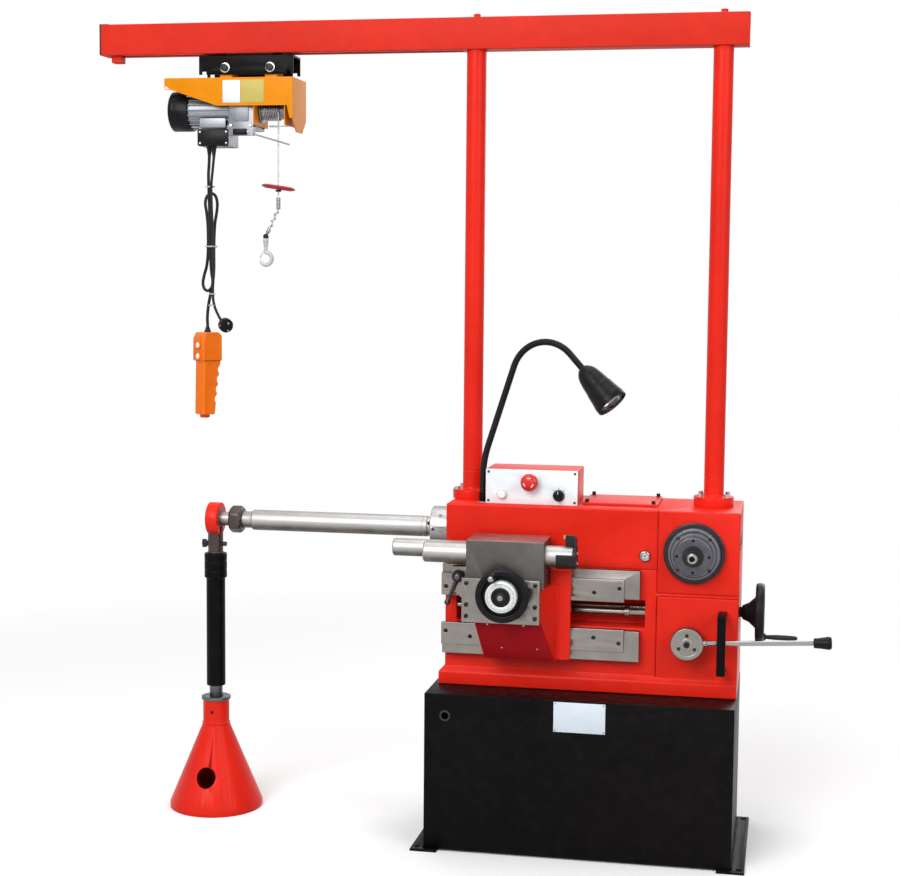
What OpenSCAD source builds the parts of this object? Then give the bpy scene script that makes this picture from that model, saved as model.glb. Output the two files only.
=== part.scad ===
// Brake drum lathe on a steel cabinet, with an overhead beam and a small rope hoist.
// Origin on the floor under the middle of the cabinet. X runs along the drum spindle,
// Y to the back and Z up. All sizes in millimetres.

/* [Cabinet] */
// Cabinet sides, left and right
cabinet_x = [-380, 380]; // [-500:1:500]
// Cabinet front and back
cabinet_y = [-210, 210]; // [-300:1:300]
// Cabinet underside and top
cabinet_z = [6, 400]; // [0:1:600]
// Sheet thickness of cabinet, and of its rear cover
sheet_t = [3, 2]; // [1:0.5:4]
// Height of the motor shelf above the floor
shelf_z = 60; // [30:1:150]
// Foot rail width, length and thickness
rail_size = [67, 448, 6]; // [4:1:500]
// How far a foot rail sticks out past the cabinet side
rail_out = 32; // [10:1:60]
// Anchor hole diameter, edge distance and end distance in a foot rail
anchor_hole = [14, 14, 20]; // [8:1:40]
// Cable hole in the cabinet front: diameter, X and Z
cable_hole = [23, -328, 345]; // [-380:1:400]

/* [Bed and headstock] */
// Plinth left end, right end
plinth_x = [-367, 380]; // [-400:1:400]
// Plinth front and back
plinth_y = [-105, 168]; // [-200:1:200]
// Top of the upright plinth edge, and top of its slope
plinth_z = [432, 446]; // [410:1:480]
// Body left and right faces
body_x = [-352, 380]; // [-400:1:400]
// Body front and back faces
body_y = [-94, 162]; // [-200:1:200]
// Joint height between bed and headstock, left and right of the step
joint_z = [712, 655]; // [600:1:760]
// Top of the headstock
body_top = 860; // [800:1:900]
// Left side of the gearbox part, and how proud its front stands
gearbox = [180, 3]; // [1:1:200]
// Wall thickness of the castings
casting_t = [30, 24, 12]; // [8:1:40]
// Channel between the ways: left end, right end, back face
channel = [-322, 152, -36]; // [-340:1:200]
// Groove round the headstock joint: height and depth
joint_groove = [7, 4]; // [1:1:10]
// Lid left, right, front and back
lid = [-15, 172, -30, 146]; // [-60:1:200]
// Lid thickness
lid_t = 6; // [3:1:12]
// Oil sight X, Z, outside diameter and glass diameter
oil_sight_at = [149, 746, 27, 18]; // [10:1:800]

/* [Ways] */
// Way rail left end, right end
rail_x = [-355, 140]; // [-360:1:170]
// Keeper strip right end
keeper_end = 103; // [50:1:140]
// Upper way rail underside and top
upper_rail_z = [640, 711]; // [600:1:730]
// Lower way rail underside and top
lower_rail_z = [484, 560]; // [460:1:600]
// Upper keeper underside and top
upper_keeper_z = [634, 690]; // [600:1:720]
// Lower keeper underside and top
lower_keeper_z = [509, 565]; // [480:1:600]
// Thickness of way rail and of keeper strip
way_t = [25, 13]; // [8:1:40]
// Keeper screws: count, end distance, head diameter, zigzag
keeper_screw = [8, 12, 10, 6]; // [4:1:20]

/* [Drum spindle] */
// Drum spindle axis Y and Z
drum_axis = [37, 781]; // [20:1:900]
// Nose flange diameter, small end of its cone, journal and tail diameters
spindle_d = [108, 104, 60, 45]; // [20:1:120]
// Nose flange: X of cone tip, cone foot, back face
nose_x = [-412, -410, -355]; // [-440:1:-350]
// Spindle gear teeth and pinion teeth
gear_teeth = [48, 24]; // [16:1:80]
// Gear module, face width and backlash
gear_cut = [2.5, 20, 0.6]; // [0.2:0.1:30]
// Left face of the gears
gear_x = 212; // [200:1:240]
// Arbor left end, outside diameter, boss diameter, stud diameter, end chamfer
arbor = [-901, 54, 44, 37, 4]; // [-1000:1:60]
// Arbor nut left face, right face, size across flats, chamfer
nut = [-962, -928, 66, 6]; // [-1000:1:90]
// Disc spindle X and Z
disc_axis = [270, 759]; // [200:1:800]
// Disc spindle flange diameters: rear ring, middle flange, front disc, stub
disc_d = [150, 128, 94, 27]; // [10:1:200]
// Front faces of rear ring, middle flange, front disc, stub, measured from the body face
disc_out = [16, 34, 64, 104]; // [5:1:140]
// Disc spindle shaft diameter, and how far it reaches into the headstock
disc_shaft = [40, 100]; // [20:1:120]

/* [Drive] */
// Motor centre height, body diameter, left end and right end
motor_at = [158, 150, 70, 296]; // [50:1:400]
// Pulley left face and width
pulley_x = [330, 18]; // [10:1:350]
// Pitch diameters of motor pulley and input pulley
pulley_d = [60, 100]; // [40:1:140]
// Belt width and thickness
belt = [12, 5]; // [3:1:20]
// Shaft diameters: motor, input
shaft_d = [24, 25]; // [12:1:40]

/* [Feed] */
// Lead screw Y, Z and diameter
lead_screw_at = [-50, 609, 16]; // [-80:1:640]
// Trip rod Y, Z and diameter
trip_rod_at = [-80, 602, 18]; // [-90:1:640]
// Trip rod collar left face, width and diameter
trip_collar = [100, 13, 27]; // [10:1:140]
// Side handwheel: rim left face, rim width, outside diameter, rim thickness
side_wheel = [420, 22, 146, 14]; // [10:1:460]
// Side handwheel grip: reach, diameter and distance from the axis
side_grip = [82, 13, 60]; // [10:1:100]
// Feed lever axis X and Z
lever_axis = [259, 541]; // [200:1:600]
// Feed lever hub front and back from the body face, hub diameter, boss diameter
lever_hub = [56, 22, 80, 62]; // [10:1:100]
// Feed lever rod: diameter, upward tilt, end and knob end from the axis
lever_rod = [12.5, 3, 303, 346]; // [1:0.5:400]
// Feed lever knob diameters, small and large
lever_knob = [24, 32]; // [15:1:50]
// Lever guard: left, right, bottom and top
guard = [332, 353, 470, 617]; // [300:1:700]
// Lever guard bar thickness and distance of its face from the body face
guard_out = [9, 72]; // [5:1:100]

/* [Saddle and cross slide] */
// Saddle right edge, foot of its right slope, foot of its left slope at the bottom
saddle_x = [-27, -57, -239]; // [-300:1:0]
// Cross slide left and right faces
slide_x = [-273, -81]; // [-300:1:0]
// Cross slide front face and back face over the ways
slide_y = [-240, -118]; // [-300:1:-100]
// Cross slide underside and top
slide_z = [676, 791]; // [640:1:820]
// Saddle front face, foot of the apron, bottom of the apron
apron = [-228, -165, 487]; // [-260:1:500]
// Thickness of the saddle flange
flange_t = 20; // [10:1:30]
// Dovetail half width at its foot and at its top, and its height
dovetail = [40, 50, 18]; // [10:1:80]
// Screw bracket left, right, bottom and top
bracket = [-280, -89, 592, 700]; // [-300:1:720]
// Screw bracket thickness
bracket_t = 15; // [8:1:30]
// Saddle tongue left and right ends
tongue_x = [-230, -130]; // [-250:1:-50]
// Front handwheel axis X and Z
front_axis = [-176, 665]; // [-200:1:700]
// Front handwheel outside diameter, rim thickness, hub diameter, screw diameter
front_wheel = [131, 17, 47, 14]; // [8:1:160]
// Front handwheel: gap behind, rim depth, hub length
front_wheel_y = [16, 20, 46]; // [4:1:60]
// Feed dial outside diameter and thickness
feed_dial_size = [78, 14]; // [6:1:100]
// Front grip distance from the axis, diameter and length
front_grip = [52, 15, 44]; // [10:1:80]
// Tool bar centre height above the floor
bar_z = 753; // [720:1:780]
// Large tool bar Y, diameter, left end and right end
large_bar = [-198, 52, -386, -14]; // [-400:1:100]
// Small tool bar Y, diameter, left end and right end
small_bar = [-146, 44, -475, -83]; // [-500:1:100]
// Tool holder length, skin round the bar, reach past the bar end, height of its top over the bar centre
tool_holder_size = [48, 3, 7, 8]; // [2:1:60]
// Cutter bit length, width, height of its tip over the bar centre, distance from the holder end
cutter = [19, 13, 53, 9]; // [4:1:60]
// Clamp lever X, Z, hub diameter, arm length, arm diameter
clamp_lever = [-307, 688, 30, 72, 9]; // [5:1:700]

/* [Control box] */
// Control box left and right
box_x = [-258, -25]; // [-280:1:0]
// Control box front face and back face
box_y = [-55, 72]; // [-90:1:100]
// Control box height
box_h = 87; // [60:1:120]
// Control panel thickness
panel_t = 3; // [2:1:6]
// Emergency stop X, height above the box foot, head diameter, reach
estop = [-144.5, 57, 44, 34]; // [-250:0.5:60]
// Start button X, height above the box foot, diameter, reach
start_at = [-216, 24, 26, 12]; // [-250:1:60]
// Selector X, height above the box foot, diameter, reach
selector_at = [-72, 24, 26, 20]; // [-250:1:60]
// Button stem diameter and length behind the panel
stem = [16, 14]; // [8:1:30]

/* [Columns and beam] */
// Column X, left and right
column_x = [-309, 308]; // [-350:1:350]
// Column and beam centre Y
beam_y = 34; // [-20:1:80]
// Column diameter and wall
column_d = [50, 4]; // [2:1:80]
// Column base diameter and thickness
base_size = [100, 25]; // [10:1:120]
// Beam left and right ends
beam_x = [-1306, 369]; // [-1500:1:500]
// Beam underside and top
beam_z = [1997, 2077]; // [1800:1:2200]
// Beam depth and wall
beam_size = [60, 4]; // [2:1:100]
// Slot in the beam underside: width, left end, right end
beam_slot = [16, -1290, -345]; // [-1300:1:20]
// Beam cap sleeve length and skin
beam_cap = [24, 2.5]; // [1:0.5:40]
// Length of the stop lump under the beam end, and its height
end_stop = [28, 18]; // [8:1:60]

/* [Trolley and hoist] */
// Trolley plate left and right ends
trolley_x = [-1034, -781]; // [-1200:1:-700]
// Trolley depth, plate thickness, underside, and running gap under the beam
trolley_size = [70, 6, 1943, 6]; // [4:1:2000]
// Trolley wheel axles, X left and right
axle_x = [-985, -833]; // [-1100:1:-750]
// Trolley wheel diameter, width, axle diameter, neck width
wheel_size = [38, 12, 10, 9]; // [5:1:60]
// Hoist cover left and right ends
cover_x = [-1118, -774]; // [-1200:1:-700]
// Hoist cover front and back
cover_y = [-30, 97]; // [-60:1:140]
// Hoist cover top, skirt edge, drum skirt edge, leg foot
cover_z = [1932, 1903, 1861, 1795]; // [1700:1:1990]
// Hoist sheet thickness
cover_t = 2.5; // [1:0.5:5]
// Hoist axis height, fan cover diameter, motor diameter
hoist_axis = [1852, 103, 96]; // [50:1:1900]
// X of fan cover, motor, gearbox and gearbox end
hoist_x = [-1113, -1062, -950, -883]; // [-1150:1:-850]
// Gearbox depth and height
hoist_box = [96, 100]; // [40:1:130]
// Terminal box left, right, underside and top
terminal = [-1034, -953, 1760, 1803]; // [-1100:1:1850]
// Terminal box front and back
terminal_y = [-8, 77]; // [-40:1:100]
// Rope drum left, right, barrel diameter, flange diameter
drum = [-874, -800, 44, 62]; // [-900:1:100]
// Rope diameter, turns on the drum, turns pitch
rope = [4, 9, 4.6]; // [2:0.1:24]
// Rope X, height of the stop disc, and the disc's diameter and thickness
rope_down = [-823, 1654, 88, 11]; // [-900:1:1800]
// Stop disc tilt, hook offset to the left, height of its swivel and of its bend
hook_at = [8, 34, 1528, 1471]; // [5:1:1600]
// Hook wire diameter, inside radius, swivel diameter
hook_size = [11, 10.5, 15]; // [5:0.5:40]
// Ferrule under the disc: diameter, top and bottom below the disc
ferrule = [11, 26, 56]; // [5:1:80]
// Limit lever rod diameter, length and downward tilt
limit_lever = [4, 116, 16]; // [2:1:150]

/* [Pendant] */
// Handset centre X, Y and turn about Z
handset = [-1025, 34, 54]; // [-1100:1:100]
// Handset depth, width, top, shoulder, foot
handset_size = [60, 48, 1277, 1202, 1060]; // [20:1:1400]
// Handset grip front face at the shoulder and foot, back face at the shoulder and foot, width
grip_size = [-25, -28, 28, 9, 41]; // [-60:1:80]
// Handset end cap diameter, length, and distance in front of the cable
end_cap = [26, 9, 10]; // [4:1:40]
// Button diameter, upper height, lower height, reach
pendant_button = [16, 1243, 1214, 4]; // [3:1:1400]
// Pendant cable diameter and mains lead diameter
cable_d = [8, 7]; // [5:0.5:12]
// Plug length, face diameter, neck diameter, pin diameter and pin length
plug_size = [34, 37, 13, 4.8, 19]; // [3:0.1:60]

/* [Lamp] */
// Lamp arm foot X and Y
lamp_at = [-268, -42]; // [-300:1:100]
// Turn of the lamp arm about its foot
lamp_turn = -20; // [-90:1:90]
// Arm diameter, foot diameter, foot height
lamp_arm = [17, 19, 26]; // [8:1:50]
// Height of the lower bend, its radius and its lean
lamp_low = [922, 250, 19.5]; // [10:0.5:1000]
// Straight length between the bends, radius of the upper bend, direction of its end from upright
lamp_high = [213.5, 95, 135]; // [50:0.5:300]
// Length of the straight end before the lamp head
lamp_end = 48; // [20:1:80]
// Lamp head socket diameter, mouth diameter, socket length, total length
lamp_head_size = [36, 82, 42, 118]; // [20:1:160]
// Lamp shade wall and bulb radius
lamp_shade = [2, 22]; // [1:1:30]

/* [Stand] */
// Stand axis X, support ring width, ring diameter
stand = [-1006, 32, 86]; // [-1100:1:100]
// Ring stem diameter and foot
ring_stem = [40, 688]; // [20:1:720]
// Stand tube collar diameter, collar foot, tube diameter, tube foot
stand_tube_size = [60, 622, 50, 330]; // [20:1:700]
// Inner tube diameter, and its top inside the stand tube
inner_tube = [35, 600]; // [20:1:650]
// Cone base diameter, neck diameter, rim diameter
cone_d = [247, 70, 78]; // [40:1:300]
// Heights of cone edge, cone top, neck top and rim top
cone_z = [14, 228, 291, 300]; // [5:1:320]
// Cone wall and access hole diameter and height
cone_wall = [5, 52, 96]; // [3:1:120]
// Clamp screw diameter, height, left reach, right reach and wing height
stand_screw = [12, 713, 37, 30, 22]; // [5:1:740]

/* [Hidden] */
$fn = 96;
cut = 1;
fit = 0.05;
play = 0.3;
skin = 0.1;
half = 1 / 2;

red = [0.80, 0.10, 0.05];
black = [0.06, 0.06, 0.065];
steel = [0.62, 0.62, 0.62];
dark_steel = [0.30, 0.31, 0.33];
grey_iron = [0.45, 0.43, 0.41];
pale = [0.90, 0.92, 0.93];
chrome = [0.80, 0.80, 0.80];
orange = [0.95, 0.48, 0.05];
white = [0.95, 0.95, 0.93];

// Derived planes that the mates share
rail_front = body_y[0] - way_t[0];
keeper_front = rail_front - way_t[1];
saddle_back = keeper_front - play;
flange_front = saddle_back - flange_t;
gearbox_front = body_y[0] - gearbox[1];
gear_radius = gear_teeth * gear_cut[0] * half;
input_axis = [drum_axis[0], drum_axis[1] - gear_radius[0] - gear_radius[1]];
way_mid = slide_x * [half, half];
box_z = [body_top, body_top + box_h];
panel_front = box_y[0] - panel_t;
base_top = body_top + base_size[1];
beam_mid_z = beam_z * [half, half];
wheel_z = beam_z[0] + beam_size[1] + play + wheel_size[0] * half;
plate_top = beam_z[0] - trolley_size[3];
rope_r = (drum[2] + rope[0]) * half + play;
rope_y = beam_y - rope_r;
clear = 1.2;

// A box between two opposite corners
module span(a, b)
    translate([for (i = [0:2]) min(a[i], b[i])]) cube([for (i = [0:2]) abs(b[i] - a[i])]);

// Round bars along X, Y and Z between two ends
module bar_x(x, y, z, d)
    translate([x[0], y, z]) rotate([0, 90, 0]) cylinder(d = d, h = x[1] - x[0]);
module bar_y(y, x, z, d)
    translate([x, y[1], z]) rotate([90, 0, 0]) cylinder(d = d, h = y[1] - y[0]);
module bar_z(z, x, y, d)
    translate([x, y, z[0]]) cylinder(d = d, h = z[1] - z[0]);
// Cone along X from one diameter to the other
module cone_x(x, y, z, d)
    translate([x[0], y, z]) rotate([0, 90, 0]) cylinder(d1 = d[0], d2 = d[1], h = x[1] - x[0]);
// A flat outline in X and Z, carried through along Y
module prism_y(y, points)
    translate([0, y[1], 0]) rotate([90, 0, 0]) linear_extrude(y[1] - y[0]) polygon(points);
// A flat outline in Y and Z, carried through along X
module prism_x(x, points)
    translate([x[0], 0, 0]) rotate([90, 0, 90]) linear_extrude(x[1] - x[0]) polygon(points);
// A flat outline in X and Y, carried through along Z
module prism_z(z, points) translate([0, 0, z[0]]) linear_extrude(z[1] - z[0]) polygon(points);

// Involute angle at a radius, and one tooth's points from root to tip
function roll(r, base) = sqrt(max(0, pow(r / base, 2) - 1));
function involute(r, base) = roll(r, base) * 180 / PI - atan(roll(r, base));
function gear_point(r, a) = [r * cos(a), r * sin(a)];
function half_tooth(r, teeth, pitch_r, base, slack) =
    90 / teeth - slack / pitch_r * 90 / PI + involute(pitch_r, base) - involute(max(r, base), base);
function gear_outline(teeth, m, slack) =
    let (pitch_r = teeth * m * half, base = pitch_r * cos(20),
        radii = [for (k = flank_share) pitch_r + m * k])
    [for (i = [0:teeth - 1], side = [-1, 1], k = [0:len(radii) - 1])
        let (r = radii[side < 0 ? k : len(radii) - 1 - k])
        gear_point(r, i * 360 / teeth + side * half_tooth(r, teeth, pitch_r, base, slack))];
// Heights on a tooth flank, in modules from the pitch circle
flank_share = [-1.2, -0.5, 0.1, 0.9];
module spur(teeth, x, at, turn)
    translate([x, at[0], at[1]]) rotate([0, 90, 0]) rotate(turn)
        linear_extrude(gear_cut[1]) polygon(gear_outline(teeth, gear_cut[0], gear_cut[2]));

module cabinet() color(black) difference() {
    union() {
        difference() {
            span([cabinet_x[0], cabinet_y[0], cabinet_z[0]], [cabinet_x[1], cabinet_y[1], cabinet_z[1]]);
            span([cabinet_x[0] + sheet_t[0], cabinet_y[0] + sheet_t[0], cabinet_z[0] - cut],
                [cabinet_x[1] - sheet_t[0], cabinet_y[1] + cut, cabinet_z[1] - sheet_t[0]]);
        }
        // Motor shelf and the flanges that take the rear cover
        span([cabinet_x[0] + cut, cabinet_y[0] + cut, shelf_z],
            [cabinet_x[1] - cut, cabinet_y[1] - rail_out, shelf_z + sheet_t[0]]);
        for (x = [cabinet_x[0], cabinet_x[1] - rail_out])
            span([x, cabinet_y[1] - sheet_t[0], cabinet_z[0]], [x + rail_out, cabinet_y[1], cabinet_z[1]]);
    }
    bar_y([cabinet_y[0] - cut, cabinet_y[0] + sheet_t[0] + cut], cable_hole[1], cable_hole[2], cable_hole[0]);
    // Opening for the belt
    span([pulley_x[0] - belt[0], -pulley_d[1] * half, cabinet_z[1] - rail_out],
        [cabinet_x[1] - rail_out, pulley_d[1] + rail_out, cabinet_z[1] + cut]);
}

vent_rows = 6;
vent_size = [120, 7, 22];
vent_at = [[-280, 90], [160, 90], [-280, 240], [160, 240]];
module cabinet_rear_cover() color(black) difference() {
    span([cabinet_x[0] + anchor_hole[2] * half, cabinet_y[1], cabinet_z[0] + anchor_hole[2] * half],
        [cabinet_x[1] - anchor_hole[2] * half, cabinet_y[1] + sheet_t[1], cabinet_z[1] - anchor_hole[2] * half]);
    for (v = vent_at, k = [0:vent_rows - 1])
        span([v[0], cabinet_y[1] - cut, v[1] + k * vent_size[2]],
            [v[0] + vent_size[0], cabinet_y[1] + sheet_t[1] + cut, v[1] + k * vent_size[2] + vent_size[1]]);
}

module foot_rails() color(black) difference() {
    for (x = [cabinet_x[0] - rail_out, cabinet_x[1] + rail_out - rail_size[0]])
        translate([x, -rail_size[1] * half, 0]) cube(rail_size);
    for (x = [cabinet_x[0] - rail_out + anchor_hole[1], cabinet_x[1] + rail_out - anchor_hole[1]],
        s = [-1, 1])
        bar_z([-cut, rail_size[2] + cut], x, s * (rail_size[1] * half - anchor_hole[2]), anchor_hole[0]);
}

// Bores that line up through bed and gearbox
module feed_bores() {
    bar_x([body_x[0] - cut, body_x[1] + cut], lead_screw_at[0], lead_screw_at[1], lead_screw_at[2] + fit * 2);
    bar_x([body_x[0] - cut, gearbox[0] + casting_t[0] + casting_t[2]], trip_rod_at[0], trip_rod_at[1],
        trip_rod_at[2] + fit * 2);
}

module bed_casting() color(red) difference() {
    union() {
        intersection() {
            prism_x([plinth_x[0], body_x[1]], [
                [plinth_y[0], cabinet_z[1]], [plinth_y[0], plinth_z[0]], [body_y[0], plinth_z[1]],
                [body_y[0], joint_z[0]], [body_y[1], joint_z[0]], [body_y[1], plinth_z[1]],
                [plinth_y[1], plinth_z[0]], [plinth_y[1], cabinet_z[1]]]);
            prism_y([plinth_y[0], plinth_y[1]], [
                [plinth_x[0], cabinet_z[1]], [plinth_x[0], plinth_z[0]], [body_x[0], plinth_z[1]],
                [body_x[0], joint_z[0]], [gearbox[0], joint_z[0]], [gearbox[0], joint_z[1]],
                [body_x[1], joint_z[1]], [body_x[1], cabinet_z[1]]]);
        }
        span([gearbox[0], gearbox_front, plinth_z[0]],
            [body_x[1], body_y[0] + cut, joint_z[1] - joint_groove[0]]);
        bar_y([gearbox_front - lever_hub[1] + play, body_y[0]], lever_axis[0], lever_axis[1], lever_hub[3]);
    }
    // Hollow, open below, closed above on the left
    span([body_x[0] + casting_t[0], channel[2] + casting_t[2], cabinet_z[1] - cut],
        [gearbox[0] - casting_t[2], body_y[1] - casting_t[2], joint_z[0] - casting_t[2]]);
    span([gearbox[0] + casting_t[2], body_y[0] + casting_t[2], cabinet_z[1] - cut],
        [body_x[1] - casting_t[0], body_y[1] - casting_t[2], joint_z[1] + cut]);
    // Channel between the ways
    span([channel[0], body_y[0] - cut, lower_keeper_z[1]], [channel[1], channel[2], upper_keeper_z[0]]);
    feed_bores();
    bar_y([gearbox_front - lever_hub[0], body_y[0] + casting_t[0]], lever_axis[0], lever_axis[1],
        shaft_d[0] + fit * 2);
}

boss_d = [70, 50];
module headstock_casting() color(red) difference() {
    union() {
        difference() {
            union() {
                span([body_x[0], body_y[0], joint_z[0]], [gearbox[0] + cut, body_y[1], body_top]);
                span([gearbox[0], body_y[0], joint_z[1]], [body_x[1], body_y[1], body_top]);
                span([gearbox[0], gearbox_front, joint_z[1]], [body_x[1], body_y[0] + cut, body_top]);
            }
            span([body_x[0] + casting_t[0], body_y[0] + casting_t[1], joint_z[0] + casting_t[2]],
                [gearbox[0], body_y[1] - casting_t[1], body_top - casting_t[2]]);
            span([gearbox[0] + casting_t[2], body_y[0] + casting_t[1], joint_z[1] - cut],
                [body_x[1] - casting_t[0], body_y[1] - casting_t[1], body_top - casting_t[2]]);
        }
        bar_y([body_y[0] + casting_t[2], body_y[0] + disc_shaft[1] - casting_t[1]], disc_axis[0],
            disc_axis[1], boss_d[0]);
    }
    span([lid[0] + casting_t[2], lid[2] + casting_t[2], body_top - casting_t[1]],
        [lid[1] - casting_t[2], lid[3] - casting_t[2], body_top + cut]);
    bar_x([body_x[0] - cut, body_x[0] + casting_t[0] + cut], drum_axis[0], drum_axis[1],
        spindle_d[2] + fit * 2);
    bar_x([gearbox[0] - cut, body_x[1] - casting_t[2]], drum_axis[0], drum_axis[1], spindle_d[3] + fit * 2);
    bar_x([gearbox[0] - cut, body_x[1] - casting_t[2]], input_axis[0], input_axis[1], shaft_d[1] + fit * 2);
    bar_y([gearbox_front - cut, body_y[0] + disc_shaft[1]], disc_axis[0], disc_axis[1], disc_shaft[0] + fit * 2);
    bar_y([body_y[0] - cut, body_y[0] + casting_t[1] + cut], oil_sight_at[0], oil_sight_at[1], oil_sight_at[3]);
}

module headstock_lid() color(red)
    span([lid[0], lid[2], body_top], [lid[1], lid[3], body_top + lid_t]);

module way_strips() color(steel) {
    for (z = [upper_rail_z, lower_rail_z])
        span([rail_x[0], rail_front, z[0]], [rail_x[1], body_y[0], z[1]]);
    difference() {
        for (z = [upper_keeper_z, lower_keeper_z])
            span([rail_x[0], keeper_front, z[0]], [keeper_end, rail_front, z[1]]);
        keeper_places() bar_y([keeper_front - cut, rail_front - way_t[1] * half], 0, 0, keeper_screw[2]);
    }
}

// Screw places on both keeper strips, in a zigzag
keeper_step = (keeper_end - rail_x[0] - 2 * keeper_screw[1]) / (keeper_screw[0] - 1);
module keeper_places()
    for (k = [0:keeper_screw[0] - 1], z = [[upper_keeper_z, 1], [lower_keeper_z, -1]])
        translate([rail_x[0] + keeper_screw[1] + k * keeper_step, 0,
            z[0] * [half, half] + z[1] * (k % 2 == 0 ? -1 : 1) * keeper_screw[3]]) children();

screw_head = [10, 8, 5, 4];
// Cap screw with a hexagon socket, head up along Z from the seat
module cap_screw() difference() {
    cylinder(d = screw_head[0], h = screw_head[1]);
    translate([0, 0, screw_head[1] - screw_head[3]]) cylinder(d = screw_head[2], h = screw_head[1], $fn = 6);
}
base_screw_share = 0.27;
module socket_screws() color(black) {
    d = screw_head[0];
    for (x = [lid[0] + d, lid[1] - d], y = [lid[2] + d, lid[3] - d])
        translate([x, y, body_top + lid_t]) cap_screw();
    for (x = column_x, i = [-1, 1], j = [-1, 1])
        translate([x + i * base_size[0] * base_screw_share, beam_y + j * base_size[0] * base_screw_share,
            base_top]) cap_screw();
    keeper_places() translate([0, rail_front - way_t[1] * half, 0]) rotate([90, 0, 0])
        difference() {
            cylinder(d = keeper_screw[2] - skin * 2, h = way_t[1] * half - cut);
            translate([0, 0, clear]) cylinder(d = screw_head[2], h = way_t[1], $fn = 6);
        }
    for (x = [cabinet_x[0] + anchor_hole[2], cabinet_x[1] - anchor_hole[2]],
        z = [cabinet_z[0] + rail_out, cabinet_z[1] - rail_out])
        translate([x, cabinet_y[1] + sheet_t[1], z]) rotate([-90, 0, 0]) cap_screw();
}

sight_lip = [7, 3];
module oil_sight() color(steel) {
    bar_y([body_y[0] - sight_lip[0], body_y[0]], oil_sight_at[0], oil_sight_at[1], oil_sight_at[2]);
    bar_y([body_y[0] - cut, body_y[0] + casting_t[2]], oil_sight_at[0], oil_sight_at[1],
        oil_sight_at[3] - skin * 2);
}

module lever_guard() color(black) {
    front = gearbox_front - guard_out[1];
    span([guard[0], front, guard[2]], [guard[1], front + guard_out[0], guard[3]]);
    for (z = [guard[2], guard[3] - guard_out[0]])
        span([guard[0], front, z], [guard[1], gearbox_front, z + guard_out[0]]);
}

module control_box() color(red) difference() {
    span([box_x[0], box_y[0], box_z[0]], [box_x[1], box_y[1], box_z[1]]);
    span([box_x[0] + panel_t, box_y[0] - cut, box_z[0] + panel_t],
        [box_x[1] - panel_t, box_y[1] - panel_t, box_z[1] - panel_t]);
}

module control_panel() color(pale) difference() {
    span([box_x[0], panel_front, box_z[0]], [box_x[1], box_y[0], box_z[1]]);
    for (b = [estop, start_at, selector_at])
        bar_y([panel_front - cut, box_y[0] + cut], b[0], box_z[0] + b[1], stem[0] + fit * 2);
}

module columns() color(red) {
    for (x = column_x) {
        bar_z([body_top, base_top], x, beam_y, base_size[0]);
        difference() {
            bar_z([base_top, beam_z[0]], x, beam_y, column_d[0]);
            bar_z([base_top + column_d[1], beam_z[0] - column_d[1]], x, beam_y, column_d[0] - 2 * column_d[1]);
        }
    }
}

bolt_head = [19, 11];
module beam() {
    w = beam_size[0] * half;
    color(red) {
        difference() {
            span([beam_x[0], beam_y - w, beam_z[0]], [beam_x[1], beam_y + w, beam_z[1]]);
            span([beam_x[0] - cut, beam_y - w + beam_size[1], beam_z[0] + beam_size[1]],
                [beam_x[1] + cut, beam_y + w - beam_size[1], beam_z[1] - beam_size[1]]);
            span([beam_slot[1], beam_y - beam_slot[0] * half, beam_z[0] - cut],
                [beam_slot[2], beam_y + beam_slot[0] * half, beam_z[0] + beam_size[1] + cut]);
        }
        for (x = column_x) translate([x, beam_y, beam_z[1]])
            cylinder(d = bolt_head[0], h = bolt_head[1], $fn = 6);
        span([beam_x[0] + beam_cap[0], beam_y - w * half, beam_z[0] - end_stop[1]],
            [beam_x[0] + beam_cap[0] + end_stop[0], beam_y + w * half, beam_z[0]]);
    }
    // Plastic end caps
    color(black) for (s = [[beam_x[0], -1], [beam_x[1], 1]])
        span([s[0], beam_y - w, beam_z[0]], [s[0] + s[1] * beam_cap[1], beam_y + w, beam_z[1]]);
}

motor_y = drum_axis[0];
// Motor foot half width, rib count, and rib spacing, thickness and end gap
motor_foot = 90;
cooling_ribs = 8;
rib = [14, 2.5, 22];
module motor() color(dark_steel) {
    bar_x([motor_at[2], motor_at[3]], motor_y, motor_at[0], motor_at[1]);
    for (k = [0:cooling_ribs - 1])
        let (z = motor_at[0] + (k - (cooling_ribs - 1) * half) * rib[0])
        span([motor_at[2] + rib[2], motor_y - motor_foot, z - rib[1] * half],
            [motor_at[3] - rib[2], motor_y + motor_foot, z + rib[1] * half]);
    for (x = [motor_at[2] + motor_foot * half, motor_at[3] - motor_foot * half])
        span([x - rail_out * half, motor_y - motor_foot, shelf_z + sheet_t[0]],
            [x + rail_out * half, motor_y + motor_foot, motor_at[0] - motor_foot * half]);
    bar_x([motor_at[3] - cut, motor_at[3] + casting_t[2]], motor_y, motor_at[0], boss_d[1]);
}

// Belt in four stretches, each meeting the next on a whole face
belt_rise = input_axis[1] - motor_at[0];
belt_lean = asin((pulley_d[1] - pulley_d[0]) * half / belt_rise);
module belt_arc(r, from, to) rotate(from)
    rotate_extrude(angle = to - from) translate([r + play, 0]) square([belt[1], belt[0]]);
module belt_run() rotate(-belt_lean)
    translate([pulley_d[0] * half + play, 0, 0]) cube([belt[1], belt_rise * cos(belt_lean), belt[0]]);
module drive_belt() color(black)
    translate([pulley_x[0] + (pulley_x[1] - belt[0]) * half, motor_y, motor_at[0]]) rotate([90, 0, 90]) {
        belt_arc(pulley_d[0] * half, 180 + belt_lean, 360 - belt_lean);
        translate([0, belt_rise, 0]) belt_arc(pulley_d[1] * half, -belt_lean, 180 + belt_lean);
        belt_run();
        mirror([1, 0, 0]) belt_run();
    }

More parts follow.
